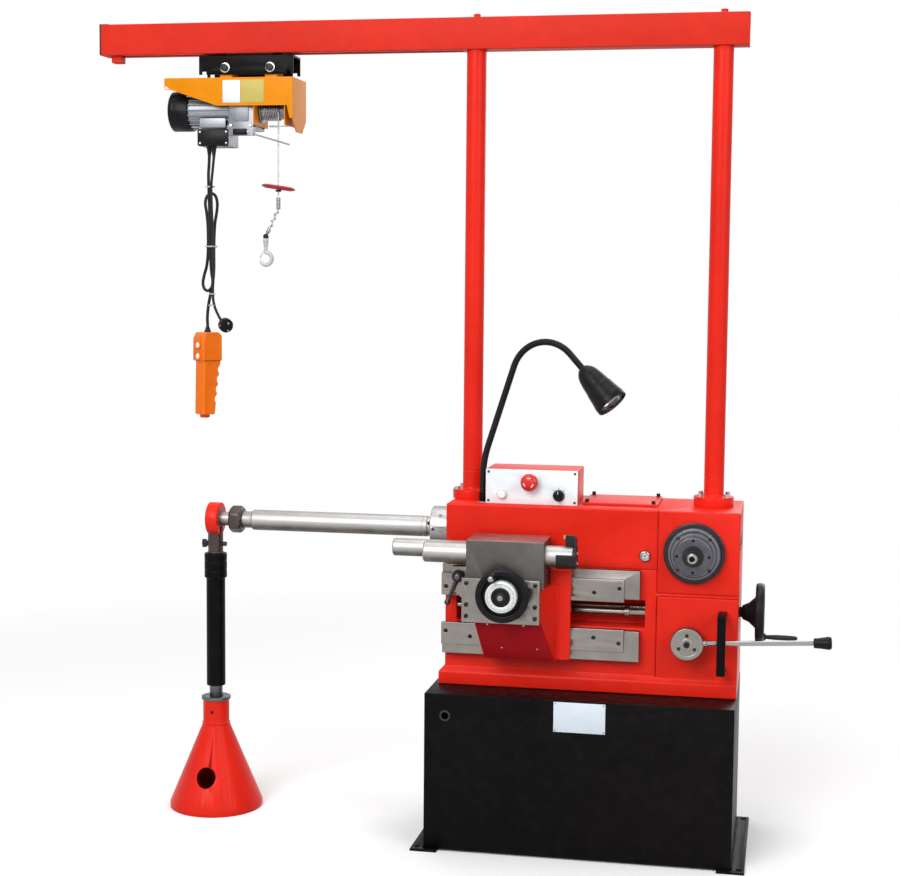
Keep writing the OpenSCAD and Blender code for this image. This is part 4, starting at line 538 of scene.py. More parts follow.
def eased(profile, edge):
    """The profile with each inner corner rounded by up to that edge."""
    points = [Vector(p) for p in profile]
    out = [points[0]]
    for before, here, after in zip(points, points[1:], points[2:]):
        back, on = before - here, after - here
        if back.length < 1e-6 or on.length < 1e-6 or abs(back.angle(on) - pi) < 0.12:
            out.append(here)
            continue
        a = here + back.normalized() * min(edge, back.length * 0.45)
        b = here + on.normalized() * min(edge, on.length * 0.45)
        out += [a, a * 0.25 + here * 0.5 + b * 0.25, b]
    return out + [points[-1]]


def flowing(points, steps=4):
    """A smooth line through the points."""
    p = [Vector(q) for q in points]
    p = [p[0] * 2 - p[1]] + p + [p[-1] * 2 - p[-2]]
    line = []
    for a, b, c, d in zip(p, p[1:], p[2:], p[3:]):
        for k in range(steps):
            t = k / steps
            line.append(0.5 * ((2 * b) + (c - a) * t + (2 * a - 5 * b + 4 * c - d) * t * t + (3 * b - a - 3 * c + d)
                        * t ** 3))
    return line + [p[-2]]


def facing(way, at=(0, 0, 0)):
    """Matrix that turns Z to the way given and moves to the place."""
    return Matrix.Translation(Vector(at)) @ Vector(way).to_track_quat("Z", "Y").to_matrix().to_4x4()


def turned_at(at, angle, axis):
    """Matrix that turns about an axis and then moves to the place."""
    return Matrix.Translation(at) @ Matrix.Rotation(angle, 4, axis)


def linked(name, data):
    """A new object in the scene."""
    made = bpy.data.objects.new(name, data)
    bpy.context.scene.collection.objects.link(made)
    return made


def corners(geometry):
    """Only the vertices of what a bmesh operator gives back."""
    return [g for g in geometry if isinstance(g, bmesh.types.BMVert)]


def ease_edges(bm, edge, steps):
    """Rounds all edges of a bmesh."""
    if edge:
        bmesh.ops.bevel(bm, geom=bm.edges[:], offset=edge, segments=steps, profile=0.5, affect="EDGES", material=-1,
                        clamp_overlap=True)
    return bm


class Shape:
    """One piece in the making, in millimetres."""

    def __init__(self):
        self.bm = bmesh.new()
        self.paints = []

    def index(self, paint):
        if paint not in self.paints:
            self.paints.append(paint)
        return self.paints.index(paint)

    def join(self, bm):
        """Moves a bmesh into the piece."""
        mesh = bpy.data.meshes.new("part")
        bm.to_mesh(mesh)
        bm.free()
        self.bm.from_mesh(mesh)
        bpy.data.meshes.remove(mesh)
        return self

    def take(self, bm, paint, place=None, fix=True):
        """Adds a finished bmesh to the piece."""
        if fix:
            bmesh.ops.remove_doubles(bm, verts=bm.verts, dist=0.002)
            bmesh.ops.recalc_face_normals(bm, faces=bm.faces)
        if place is not None:
            bmesh.ops.transform(bm, matrix=place, verts=bm.verts)
        for face in bm.faces:
            face.material_index = self.index(paint)
        return self.join(bm)

    def block(self, paint, low, high, edge=1.0, steps=2, place=None):
        bm = bmesh.new()
        low, high = Vector(low), Vector(high)
        bmesh.ops.create_cube(bm, size=1)
        bmesh.ops.scale(bm, vec=high - low, verts=bm.verts)
        bmesh.ops.translate(bm, vec=(low + high) / 2, verts=bm.verts)
        return self.take(ease_edges(bm, edge, steps), paint, place)

    def turned(self, paint, profile, at, way, steps=48, edge=0.0, ring=False):
        """Turns a profile of (distance along, radius) points round an axis."""
        bm = bmesh.new()
        points = eased(profile, edge) if edge else [Vector(p) for p in profile]
        verts = [bm.verts.new((p[1], 0, p[0])) for p in points]
        edges = [bm.edges.new(pair) for pair in zip(verts, verts[1:])]
        if ring:
            edges.append(bm.edges.new((verts[-1], verts[0])))
        bmesh.ops.spin(bm, geom=verts + edges, cent=(0, 0, 0), axis=(0, 0, 1), dvec=(0, 0, 0), angle=2 * pi,
                       steps=steps, use_merge=True)
        return self.take(bm, paint, facing(way, at))

    def solid(self, paint, profile, *where, **others):
        """A turned body whose profile is closed on the axis at both ends."""
        return self.turned(paint, [(profile[0][0], 0), *profile, (profile[-1][0], 0)], *where, **others)

    def rod(self, paint, a, b, d, edge=0.8, steps=32):
        way = Vector(b) - Vector(a)
        return self.solid(paint, [(0, d / 2), (way.length, d / 2)], a, way, steps, edge)

    def prism(self, paint, points, axis, low, high, edge=1.0, steps=2, place=None):
        """A flat outline carried along an axis."""
        bm = bmesh.new()
        order = {"x": lambda p: (low, p[0], p[1]), "y": lambda p: (p[0], low, p[1]), "z": lambda p: (p[0], p[1], low)}
        face = bm.faces.new([bm.verts.new(order[axis](p)) for p in points])
        moved = bmesh.ops.extrude_face_region(bm, geom=[face])["geom"]
        way = Vector([(high - low) if a == axis else 0 for a in "xyz"])
        bmesh.ops.translate(bm, vec=way, verts=corners(moved))
        bmesh.ops.recalc_face_normals(bm, faces=bm.faces)
        return self.take(ease_edges(bm, edge, steps), paint, place)

    def hexagon(self, paint, at, way, across, high, edge=0.8, steps=6, turn=0.0):
        """A bolt head or nut."""
        bm = bmesh.new()
        bmesh.ops.create_cone(bm, cap_ends=True, segments=steps, radius1=across / 2 / cos(pi / steps),
                              radius2=across / 2 / cos(pi / steps), depth=high)
        bmesh.ops.translate(bm, vec=(0, 0, high / 2), verts=bm.verts)
        bmesh.ops.rotate(bm, matrix=Matrix.Rotation(radians(turn), 3, "Z"), verts=bm.verts)
        bmesh.ops.bevel(bm, geom=bm.edges[:], offset=edge, segments=2, profile=0.5, affect="EDGES", material=-1)
        return self.take(bm, paint, facing(way, at))

    def cap_screw(self, paint, at, way, d=10.0, high=8.0, socket=5.0, deep=4.0):
        """Screw head with a six sided socket."""
        bm = bmesh.new()
        outer = bmesh.ops.create_circle(bm, segments=24, radius=d / 2 - 0.5)["verts"]
        inner = bmesh.ops.create_circle(bm, segments=6, radius=socket / 2 / cos(pi / 6))["verts"]
        rings = [bm.edges[:24], bm.edges[24:30]]
        bmesh.ops.bridge_loops(bm, edges=bm.edges[:])
        side = bmesh.ops.extrude_edge_only(bm, edges=rings[0])["geom"]
        low = corners(side)
        bmesh.ops.scale(bm, vec=(d / (d - 1), d / (d - 1), 1), verts=low)
        bmesh.ops.translate(bm, vec=(0, 0, -0.5), verts=low)
        foot = bmesh.ops.extrude_edge_only(bm,
                edges=[g for g in side if isinstance(g, bmesh.types.BMEdge)
                       and all(v in low for v in g.verts)])["geom"]
        bmesh.ops.translate(bm, vec=(0, 0, 0.5 - high), verts=corners(foot))
        well = bmesh.ops.extrude_edge_only(bm, edges=rings[1])["geom"]
        bmesh.ops.translate(bm, vec=(0, 0, -deep), verts=corners(well))
        bmesh.ops.holes_fill(bm, edges=[e for e in bm.edges if e.is_boundary], sides=24)
        bmesh.ops.translate(bm, vec=(0, 0, high), verts=bm.verts)
        return self.take(bm, paint, facing(way, at))

    def line(self, paint, points, d, sides=12, lobes=0, lay=0.0, radii=None):
        """A round bar or twisted rope along points, made as a curve and kept as a mesh."""
        curve = bpy.data.curves.new("line", "CURVE")
        curve.dimensions = "3D"
        curve.twist_mode = "MINIMUM"
        spline = curve.splines.new("POLY")
        spline.points.add(len(points) - 1)
        run = 0.0
        for k, p in enumerate(points):
            if k:
                run += (Vector(p) - Vector(points[k - 1])).length
            spline.points[k].co = (*p, 1)
            spline.points[k].tilt = 2 * pi * run / lay if lay else 0.0
            spline.points[k].radius = radii[k] if radii else 1.0
        curve.use_fill_caps = True
        made = []
        if lobes:
            section = bpy.data.curves.new("section", "CURVE")
            section.dimensions = "2D"
            loop = section.splines.new("POLY")
            count = lobes * 4
            loop.points.add(count - 1)
            for k in range(count):
                a = 2 * pi * k / count
                r = d / 2 * (0.86 + 0.14 * abs(cos(lobes * a / 2)))
                loop.points[k].co = (r * cos(a), r * sin(a), 0, 1)
            loop.use_cyclic_u = True
            made.append(linked("section", section))
            curve.bevel_mode = "OBJECT"
            curve.bevel_object = made[0]
        else:
            curve.bevel_depth = d / 2
            curve.bevel_resolution = max(0, sides // 4 - 1)
        holder = linked("line", curve)
        bpy.context.view_layer.update()
        mesh = bpy.data.meshes.new_from_object(holder.evaluated_get(bpy.context.evaluated_depsgraph_get()))
        for o in [holder] + made:
            data = o.data
            bpy.data.objects.remove(o)
            bpy.data.curves.remove(data)
        bm = bmesh.new()
        bm.from_mesh(mesh)
        bpy.data.meshes.remove(mesh)
        return self.take(bm, paint)

    def copy_of(self, node, paint, where=None, melt=0.6):
        """Takes a CAD node's surfaces, with flat triangles joined. where gives the finish of each face."""
        bm = bmesh.new()
        bm.from_mesh(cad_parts[node].data)
        bmesh.ops.scale(bm, vec=(1 / MM,) * 3, verts=bm.verts)
        bmesh.ops.remove_doubles(bm, verts=bm.verts, dist=0.004)
        bmesh.ops.recalc_face_normals(bm, faces=bm.faces)
        if melt:
            bmesh.ops.dissolve_limit(bm, angle_limit=radians(melt), verts=bm.verts, edges=bm.edges, delimit=set())
        for face in bm.faces:
            middle = face.calc_center_median()
            face.material_index = self.index(where(middle, face.normal) if where else paint)
        return self.join(bm)

    def place(self, name, body, slot, *nodes, edge=0.0, steps=3, angle=35, smooth=38):
        """Makes the object, lets it ride on its body and stand for its CAD nodes. edge adds a live bevel."""
        bmesh.ops.scale(self.bm, vec=(MM,) * 3, verts=self.bm.verts)
        mesh = bpy.data.meshes.new(name)
        self.bm.to_mesh(mesh)
        self.bm.free()
        piece = linked(name, mesh)
        for paint in self.paints:
            mesh.materials.append(paint())
        mesh.shade_smooth()
        if edge:
            bevel = piece.modifiers.new("Edges", "BEVEL")
            bevel.width = edge * MM
            bevel.segments = steps
            bevel.limit_method = "ANGLE"
            bevel.angle_limit = radians(angle)
            bevel.use_clamp_overlap = False
            bevel.harden_normals = True
            bevel.miter_outer = "MITER_ARC"
        else:
            mesh.set_sharp_from_angle(angle=radians(smooth))
        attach(piece, body)
        if nodes:
            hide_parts(*nodes)
        return piece


def dress(node, paint, name, body, slot, where=None, **edges):
    """A CAD node's own surfaces with eased edges, as one finished piece."""
    s = Shape()
    s.copy_of(node, paint, where)
    return s.place(name, body, slot, node, **edges)


def round_about(count, start=0.0):
    """Angles of things set evenly round a circle, in radians."""
    return [radians(start + 360 / count * k) for k in range(count)]


# Places of the cords, in millimetres, as the solids have them
CABLE_WAY = [
    (-1015, 24, 1760), (-1015, 24, 1740), (-1016, 24, 1715), (-1018, 25, 1690), (-1018, 26, 1660),
    (-1017, 27, 1620), (-1016, 28, 1580), (-1015, 28, 1540), (-1015, 28, 1500), (-1014, 28, 1465),
    (-1012, 28, 1436), (-1009, 29, 1412), (-1012, 31, 1396), (-1023, 34, 1386), (-1035, 38, 1391),
    (-1040, 41, 1406), (-1037, 43, 1427), (-1030, 42, 1450), (-1026, 41, 1480), (-1025, 41, 1520),
    (-1026, 41, 1560), (-1030, 43, 1592), (-1034, 45, 1614), (-1031, 48, 1632), (-1020, 50, 1641),
    (-1008, 50, 1635), (-1002, 48, 1616), (-1003, 46, 1592), (-1007, 44, 1565), (-1009, 43, 1530),
    (-1010, 43, 1490), (-1010, 43, 1450), (-1012, 42, 1415), (-1018, 39, 1380), (-1024, 37, 1345),
    (-1026, 35, 1315), (-1025, 34, 1295), (-1025, 34, 1277),
]
LEAD_WAY = [
    (-1000, 16, 1760), (-1000, 16, 1735), (-1003, 15, 1700), (-1007, 15, 1660), (-1007, 16, 1620),
    (-1006, 17, 1580), (-1005, 18, 1540), (-1005, 18, 1500), (-1004, 18, 1460), (-1003, 17, 1420),
    (-1004, 16, 1390), (-1003, 16, 1362), (-998, 17, 1340), (-990, 18, 1322), (-984, 18, 1311),
    (-979, 16, 1304), (-973, 7, 1302),
]


PLUG_WAY = Vector((6, -9, -2))


def cord_curve(name, points, d):
    """A round cord as a curve whose own line is its middle."""
    line = flowing(points, 5)
    curve = bpy.data.curves.new(name, "CURVE")
    curve.dimensions = "3D"
    curve.twist_mode = "MINIMUM"
    curve.bevel_depth = d / 2 * MM
    curve.bevel_resolution = 4
    curve.use_fill_caps = True
    spline = curve.splines.new("POLY")
    spline.points.add(len(line) - 1)
    for point, place in zip(spline.points, line):
        point.co = (*(place * MM), 1)
    curve.materials.append(cable_rubber())
    piece = linked(name, curve)
    run = sum((b - a).length for a, b in zip(line, line[1:]))
    return piece, run * MM


def tie(name, middle, half, turn=0.0):
    """A nylon tie drawn round the cable bundle, with its lock and cut tail."""
    s = Shape()
    there = turned_at(middle, radians(turn), "Z")
    bm = bmesh.new()
    bmesh.ops.create_circle(bm, segments=40, radius=1.0)
    outer = bmesh.ops.extrude_edge_only(bm, edges=bm.edges[:])["geom"]
    bmesh.ops.translate(bm, vec=(0, 0, 3.6), verts=corners(outer))
    bmesh.ops.transform(bm, matrix=there @ Matrix.Diagonal((*half, 1, 1)), verts=bm.verts)
    bmesh.ops.recalc_face_normals(bm, faces=bm.faces)
    bmesh.ops.solidify(bm, geom=bm.faces[:], thickness=-1.1)
    s.take(bm, nylon)
    s.block(nylon, (half[0] * 0.1, -half[1] - 2.6, -0.9), (half[0] * 0.1 + 5.4, -half[1] + 0.8, 4.5), 0.7,
            place=there)
    s.block(nylon, (half[0] * 0.1 + 1.2, -half[1] - 6.4, 0.9), (half[0] * 0.1 + 4.0, -half[1] - 2.2, 2.1), 0.3, 1,
            place=there)
    return s.place(name, "hoist", "black_plastic")


# Finish of a face of a CAD node, from the face's middle in millimetres and its normal


def beam_faces(middle, normal):
    capped = middle.x < BEAM_CAPS_X[0] or middle.x > BEAM_CAPS_X[1]
    # The beam's faces take the darker enamel with painted shade, the caps black plastic
    return black_plastic if capped else beam_shaded_enamel


def cover_faces(middle, normal):
    bolt = abs(middle.y - BEAM_Y) > COVER_BOLTS_OUT and middle.z > COVER_BOLTS_LOW
    return blackened_steel if bolt else orange_paint


def motor_faces(middle, normal):
    fan = middle.x < FAN_COVER_RIGHT
    terminal_box = middle.z < TERMINAL_BOX_TOP and middle.x < TERMINAL_BOX_RIGHT
    return black_plastic if fan or terminal_box else cast_alloy


def handset_faces(middle, normal):
    return red_plastic if middle.z < HANDSET_CAP_TOP else orange_plastic


def saddle_faces(middle, normal):
    clamp_pad = middle.x < -281 and middle.z > 600
    top_plate = 676.4 < middle.z < 695 and middle.y < -175 and middle.x < -100
    if clamp_pad or top_plate:
        return bare_steel
    # Faces turned down and to the front take the enamel with painted shade
    return apron_painted_shade if normal.z < -0.2 and normal.y < -0.5 else red_paint


def slide_faces(middle, normal):
    return ground_band if middle.z > SLIDE_BAND_LOW else grey_iron


def holder_faces(middle, normal):
    cutter = middle.z > CUTTER_LOW and middle.x < CUTTER_RIGHT
    return dark_steel if cutter else blackened_steel


def ring_faces(middle, normal):
    shank = middle.z < RING_SHANK_TOP and abs(middle.y - SPINDLE_Y) < RING_SHANK_HALF
    return stained_steel if shank else red_paint


def cone_faces(middle, normal):
    return dark_steel_z if middle.z > CONE_TOP else red_paint


class LATHE_OT_cords(bpy.types.Operator):
    """Makes the pendant cable and the mains lead with their ties, reliefs and plug."""

    bl_idname = "lathe.cords"
    bl_label = "Cords"

    def execute(self, context):
        cable, cable_run = cord_curve("pendant_cable_jacket", CABLE_WAY, 8)
        lead, lead_run = cord_curve("mains_lead_jacket", LEAD_WAY, 7)
        for piece in (cable, lead):
            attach(piece, "hoist")
        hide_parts("pendant_cable")
        ties = [
            tie("cable_tie_top", (-1012.4, 20.8, 1655), (12.5, 6.0), 45),
            tie("cable_tie_middle", (-1014, 31, 1500), (18.5, 13.5), 112),
            tie("cable_tie_low", (-1011.2, 28, 1376), (21, 5.4), 116),
            tie("cable_tie_fork", (-1011.8, 27, 1346), (21, 5.4), 122),
        ]
        # Tapered reliefs under the terminal box
        for name, at, thick in (("cable_relief", CABLE_WAY[0], 4.05), ("lead_relief", LEAD_WAY[0], 3.55)):
            s = Shape()
            grooves = [(3 + 4 * k + part, 7.2 - 0.55 * k - dip) for k in range(6) for part,
                       dip in ((0, 0), (1.8, 0), (2.2, 0.9), (3.6, 0.9))]
            profile = [(-2, thick), (-2, 8.6), (2.4, 8.6)] + grooves + [(29, thick + 0.5), (30, thick)]
            s.turned(cable_rubber, profile, at, DOWN, 24, 0.5)
            s.place(name, "hoist", "cable_rubber")
        way = PLUG_WAY.normalized()
        at = Vector(LEAD_WAY[-1])
        s = Shape()
        ribs = [(2 + 2.4 * k + part, 5.4 + 0.35 * k - dip) for k in range(4) for part,
                dip in ((0, 0), (1.2, 0), (1.4, 0.8), (2.3, 0.8))]
        s.turned(black_plastic, [(0, 3.5), (0, 5.4)] + ribs + [(12.5, 9), (15.3, 17.2), (18, 18.5), (22, 18.5),
                 (22.6, 17.9), (24, 17.9), (24.6, 18.5), (33, 18.5), (34, 17.6), (34, 0)], at, way, 48, 0.8)
        turn = facing(way, at)
        for side in (-1, 1):
            foot = turn @ Vector((0, side * 9.3, 34))
            s.rod(chromed_steel, foot - way, foot + way * 18.8, 4.8, 1.4, 20)
            clip = turn @ Vector((side * 16.9, 0, 28))
            s.rod(chromed_steel, clip, clip + way * 6.6, 3.0, 0.5, 12)
        plug = s.place("mains_plug_body", "hoist", "black_plastic", "mains_plug")
        return {"FINISHED"}


ROPE_D, ROPE_TURNS, ROPE_PITCH = 4.0, 9, 4.6
DISC_TILT, HOOK_R, HOOK_SWEEP = 8, 16, 250


class LATHE_OT_rope(bpy.types.Operator):
    """Makes the hoist rope, its winding and drum, the stop disc, the hook and the latch."""

    bl_idname = "lathe.rope"
    bl_label = "Rope and hook"

    def execute(self, context):
        strands = context.scene.drum_lathe_sizes.strands
        lay = size("rope_lay")
        top, foot = 1847.7, 1659.5
        s = Shape()
        count = 64
        run = [(ROPE_X, ROPE_Y, top + (foot - top) * k / count) for k in range(count + 1)]
        s.line(zinc_steel, run, ROPE_D, lobes=strands, lay=lay)
        rope = s.place("hoist_rope_strands", "hoist", "zinc_steel", "hoist_rope")
        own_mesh(rope)

        # Drum with its winding
        s = Shape()
        axis_y, axis_z, r = BEAM_Y, HOIST_Z, 24.3
        s.turned(cast_alloy, [(0, 10), (0, 31), (4, 31), (4, 22), (70, 22), (70, 31), (74, 31), (74, 10)],
                 (-874, axis_y, axis_z), RIGHT, 64, 0.7)
        s.solid(dark_steel, [(0, 10), (93.7, 10)], (-882.7, axis_y, axis_z), RIGHT, 32, 1.0)
        s.hexagon(zinc_steel, (-789.6, axis_y, axis_z), RIGHT, 15, 6, 0.8)
        turns, pitch, rings = ROPE_TURNS, ROPE_PITCH, 40
        wound = []
        for k in range(rings * turns + 1):
            a = 2 * pi * k / rings
            wound.append((ROPE_X - (turns - k / rings) * pitch, axis_y - r * cos(a), axis_z - r * sin(a)))
        wound.append((wound[-1][0], wound[-1][1], wound[-1][2] - 4.0))
        s.line(zinc_steel, wound, ROPE_D, lobes=strands, lay=lay)
        for k in range(3):
            a = 2 * pi * k / 3
            s.cap_screw(blackened_steel, (-874.2, axis_y + 27 * cos(a), axis_z + 27 * sin(a)), LEFT, 5, 1.2, 2.5, 0.8)
        s.place("rope_drum_winding", "winding_drum", "zinc_steel", "rope_drum")

        # Stop disc, ferrule, and the twisted run down to the swivel
        s = Shape()
        tilt = Matrix.Rotation(radians(DISC_TILT), 4, "Y") @ Vector(UP)
        s.solid(crimson_plastic, [(-5.5, 34), (-4.2, 37), (-2.2, 43.2), (0, 44), (2.2, 43.2), (4.2, 37), (5.5, 34),
                (4.6, 30), (3.4, 24), (4.4, 12), (5.5, 10)], (ROPE_X, ROPE_Y, STOP_DISC_Z), tilt, 64, 1.4)
        s.turned(black_plastic, [(0, 3), (0, 8), (5, 7), (5, 3)], (ROPE_X, ROPE_Y, STOP_DISC_Z - 6), DOWN, 24, 0.8)
        low = Vector((ROPE_X, ROPE_Y, STOP_DISC_Z - 56))
        s.line(zinc_steel, [(ROPE_X, ROPE_Y, 1659 - 61 * k / 20) for k in range(21)], ROPE_D, lobes=strands, lay=lay)
        s.turned(cast_alloy, [(0, 2), (0, 5.2), (3, 5.5), (8, 5.5), (9, 5.0), (10, 5.5), (20, 5.5), (21, 5.0),
                              (22, 5.5), (27, 5.5), (30, 5.2), (30, 2)], (ROPE_X, ROPE_Y, STOP_DISC_Z - 26), DOWN, 24,
                 0.6)
        swivel = Vector((ROPE_X - 34, ROPE_Y, HOOK_SWIVEL_Z))
        way = (swivel - low).normalized()
        reach = (swivel - low).length - 7.8
        s.line(zinc_steel, [low + way * reach * k / 24 for k in range(25)], 4.4, lobes=strands, lay=lay)
        # Loose end of the rope, twisted round the run below the ferrule
        back = Vector(BACK)
        side = way.cross(back).normalized()
        twist = []
        for k in range(49):
            t = k / 48
            a = 6 * pi * t
            twist.append(low + way * (6 + (reach - 12) * t) + (side * cos(a) + back * sin(a)) * 3.9)
        s.line(zinc_steel, twist, 3.0, lobes=strands, lay=lay)
        s.turned(cast_alloy, [(-14, 2), (-14, 5), (-2, 5), (-1, 3), (0, 2)], low + way * reach, way, 24, 0.6)
        s.place("stop_disc_and_ferrule", "hook_line", "red_plastic", "rope_stop_disc")

        # Hook: swivel ball, shank, bend that thickens at its foot, and tip
        s = Shape()
        s.turned(blackened_steel, [(-7.5, 0), (-7.2, 2.4), (-5.4, 5.2), (-2.4, 7.1), (0, 7.5), (2.4, 7.1), (5.4, 5.2),
                 (7.2, 2.4), (7.5, 0)], swivel, DOWN, 32)
        s.solid(hook_enamel, [(5, 6.8), (10, 7.4), (14, 7.0), (22, 6.2), (24, 6.2)], swivel, DOWN, 32, 0.8)
        way_round, thick = [(swivel.x, ROPE_Y, HOOK_SWIVEL_Z - 16 - 6 * k) for k in range(4)], [0.95] * 4
        for k in range(33):
            a = radians(90 - HOOK_SWEEP * k / 32)
            way_round.append((swivel.x + HOOK_R * cos(a), ROPE_Y, HOOK_BEND_Z + HOOK_R * sin(a)))
            thick.append(0.95 + 0.05 * sin(pi * k / 32) - (0.45 * (k - 26) / 6 if k > 26 else 0))
        s.line(hook_enamel, way_round, 11.0, sides=20, radii=thick)
        s.rod(zinc_steel, (swivel.x - 6.9, ROPE_Y - 4.6, 1490), (swivel.x - 6.9, ROPE_Y + 4.6, 1490), 2.0, 0.3, 12)
        s.place("safety_hook", "hook_body", "white_plastic", "hook")
        dress("hook_latch", zinc_steel, "hook_latch_spring", "latch", "zinc_steel", edge=0.4)
        return {"FINISHED"}


class LATHE_OT_cabinet(bpy.types.Operator):
    """Makes the cabinet, its rear cover, foot rails and bare front plate."""

    bl_idname = "lathe.cabinet"
    bl_label = "Cabinet"

    def execute(self, context):
        dress("cabinet", black_paint, "cabinet_shell", "machine", "black_paint", edge=size("sheet_edge"))
        s = Shape()
        # Rubber sleeve in the cable hole, and the bare plate with its rivets
        s.turned(belt_rubber, [(-3, 9.4), (-3, 13.4), (-0.4, 14), (0.9, 13.6), (1.4, 11.6), (0.9, 9.4)],
                 (-328, -210.2, 345), FRONT, 40, 0.4, ring=True)
        s.block(plate_metal, (-57, -211.0, 321.5), (70, -209.6, 396), 0.4)
        for x in (-53, 66):
            for z in (325.5, 392):
                s.turned(cast_alloy, [(0, 2.2), (1.0, 1.7), (1.3, 0.7), (1.35, 0)], (x, -210.9, z), FRONT, 16)
        s.place("cabinet_plate_and_sleeve", "machine", "black_paint")
        dress("foot_rails", black_paint, "foot_rail_plates", "machine", "black_paint", edge=1.0)
        s = Shape()
        for side in (-1, 1):
            # Weld seam between the rail and the cabinet foot
            bead = [(side * 381, y, 7.0 + 0.4 * sin(y * 1.3)) for y in range(-205, 206, 3)]
            s.line(black_paint, bead, 5.0, sides=8, radii=[1 + 0.14 * sin(k * 2.1) for k in range(len(bead))])
        s.place("rail_weld_seams", "machine", "black_paint")
        dress("cabinet_rear_cover", black_paint, "rear_cover_sheet", "machine", "black_paint", edge=0.6)
        s = Shape()
        for x, z in ((-280, 90), (160, 90), (-280, 240), (160, 240)):
            for k in range(6):
                # Pressed hood over each slot, open below
                low = z + 22 * k
                s.prism(black_paint, [(212, low + 10), (212, low + 8.6), (214.8, low + 7.2), (217.4, low + 1.4),
                        (218.6, low + 1.8), (216, low + 8.4)], "x", x - 2, x + 122, 0.3, 1)
        s.place("rear_cover_louvres", "machine", "black_paint")
        return {"FINISHED"}


class LATHE_OT_castings(bpy.types.Operator):
    """Makes the bed, headstock, lid and columns."""

    bl_idname = "lathe.castings"
    bl_label = "Bed and headstock"

    def execute(self, context):
        cast = size("cast_edge")
        dress("bed_casting", red_paint, "bed_casting_skin", "machine", "red_paint", edge=cast)
        dress("headstock_casting", red_paint, "headstock_casting_skin", "machine", "red_paint", edge=cast)
        dress("headstock_lid", red_paint, "headstock_lid_plate", "machine", "red_paint", edge=1.2)
        s = Shape()
        # Thin dark gasket under the lid
        s.block(belt_rubber, (-15.4, -30.4, 859.6), (172.4, 146.4, 860.9), 0)
        # Flange ring behind the drum spindle, on the body's left face
        s.turned(red_paint, [(0, 31), (0, 52), (2.4, 52), (2.4, 31)], (-352, SPINDLE_Y, SPINDLE_Z), LEFT, 64, 1.0,
                 ring=True)
        # Rounded lips along the joints of the gearbox cover
        for z in (664.5, 650.5):
            s.rod(red_paint, (185, -91.4, z), (378, -91.4, z), 9.0, 2.0, 16)
        for low, high in ((462, 652), (663, 846)):
            s.rod(red_paint, (187.5, -91.4, low), (187.5, -91.4, high), 8.0, 2.0, 16)
        # Plugs over the shaft bores on the right face
        for at in ((380, SPINDLE_Y, SPINDLE_Z), (380, -53, SPINDLE_Z)):
            s.solid(dark_steel, [(-1, 21), (1.2, 21), (1.2, 16), (0.4, 15)], at, RIGHT, 40, 0.4)
        s.place("headstock_trim", "machine", "red_paint")
        s = Shape()
        for x in COLUMNS_X:
            # Column foot with a fillet of weld, the tube, and a thin joint ring above the foot
            s.solid(red_paint, [(0, 50), (25, 50), (25, 27.4), (26.6, 26.2), (29.5, 25), (71, 25), (71.5, 24.5),
                    (72.5, 24.5), (73, 25), (1130, 25), (1133, 25.9), (1137, 26)], (x, BEAM_Y, COLUMN_FOOT_Z), UP, 72,
                    1.6)
        s.place("column_tubes", "machine", "red_paint", "columns")
        s = Shape()
        # Screws of the lid, the column feet and the rear cover
        for x in (-5, 162):
            for y in (-20, 136):
                s.cap_screw(blackened_steel, (x, y, 866), UP)
        for x in COLUMNS_X:
            for i in (-27, 27):
                for j in (-27, 27):
                    s.cap_screw(zinc_steel, (x + i * 1.24, BEAM_Y + j * 1.24, COLUMN_FOOT_Z + 25), UP, 12, 8, 6, 4.5)
        # Screws of the way strips, in a zigzag
        for k in range(WAY_SCREWS):
            x = WAY_SCREWS_X[0] + k * (WAY_SCREWS_X[1] - WAY_SCREWS_X[0]) / (WAY_SCREWS - 1)
            shift = 6 if k % 2 else -6
            for z, way in ((662, 1), (537, -1)):
                s.cap_screw(blackened_steel, (x, -125.6, z + way * shift), FRONT, 9.6, 5.8, 5, 3)
        for x in (-360, 360):
            for z in (38, 368):
                s.cap_screw(zinc_steel, (x, 212, z), BACK)
        s.place("socket_screw_heads", "machine", "blackened_steel", "socket_screws")
        return {"FINISHED"}


class LATHE_OT_ways(bpy.types.Operator):
    """Makes the ground way strips, the oil sight and the lever guard."""

    bl_idname = "lathe.ways"
    bl_label = "Ways, oil sight and guard"

    def execute(self, context):
        dress("way_strips", bare_steel, "way_strip_bars", "machine", "bare_steel", edge=1.0)
        s = Shape()
        s.turned(chromed_steel, [(-1, 9.2), (-1, 12), (0, 13.5), (1.6, 13.5), (3.4, 12.6), (4.6, 10.6), (4.6, 9.2)],
                 (SIGHT_X, -97, SIGHT_Z), FRONT, 48, 0.5, ring=True)
        s.solid(white_plastic, [(0, 9.1), (0.6, 9.1)], (SIGHT_X, -94.5, SIGHT_Z), FRONT, 32)
        s.solid(red_plastic, [(0, 2.6), (0.5, 2.4)], (SIGHT_X, -95.1, SIGHT_Z), FRONT, 24)
        s.place("oil_sight_ring", "machine", "sight_glass")
        s = Shape()
        s.turned(sight_glass, [(0, 0), (0, 9.0), (3.6, 9.0), (5.0, 7.4), (6.2, 4.6), (6.8, 0)],
                 (SIGHT_X, -94.2, SIGHT_Z), FRONT, 40, 0.6)
        s.place("oil_sight_dome", "machine", "sight_glass", "oil_sight")
        dress("lever_guard", black_paint, "lever_guard_bar", "machine", "black_paint", edge=2.4)
        return {"FINISHED"}


def in_panel(at, y=PANEL_Y):
    """A control's place on the panel's face, or in another plane in front of it."""
    return at[0], y, at[1]


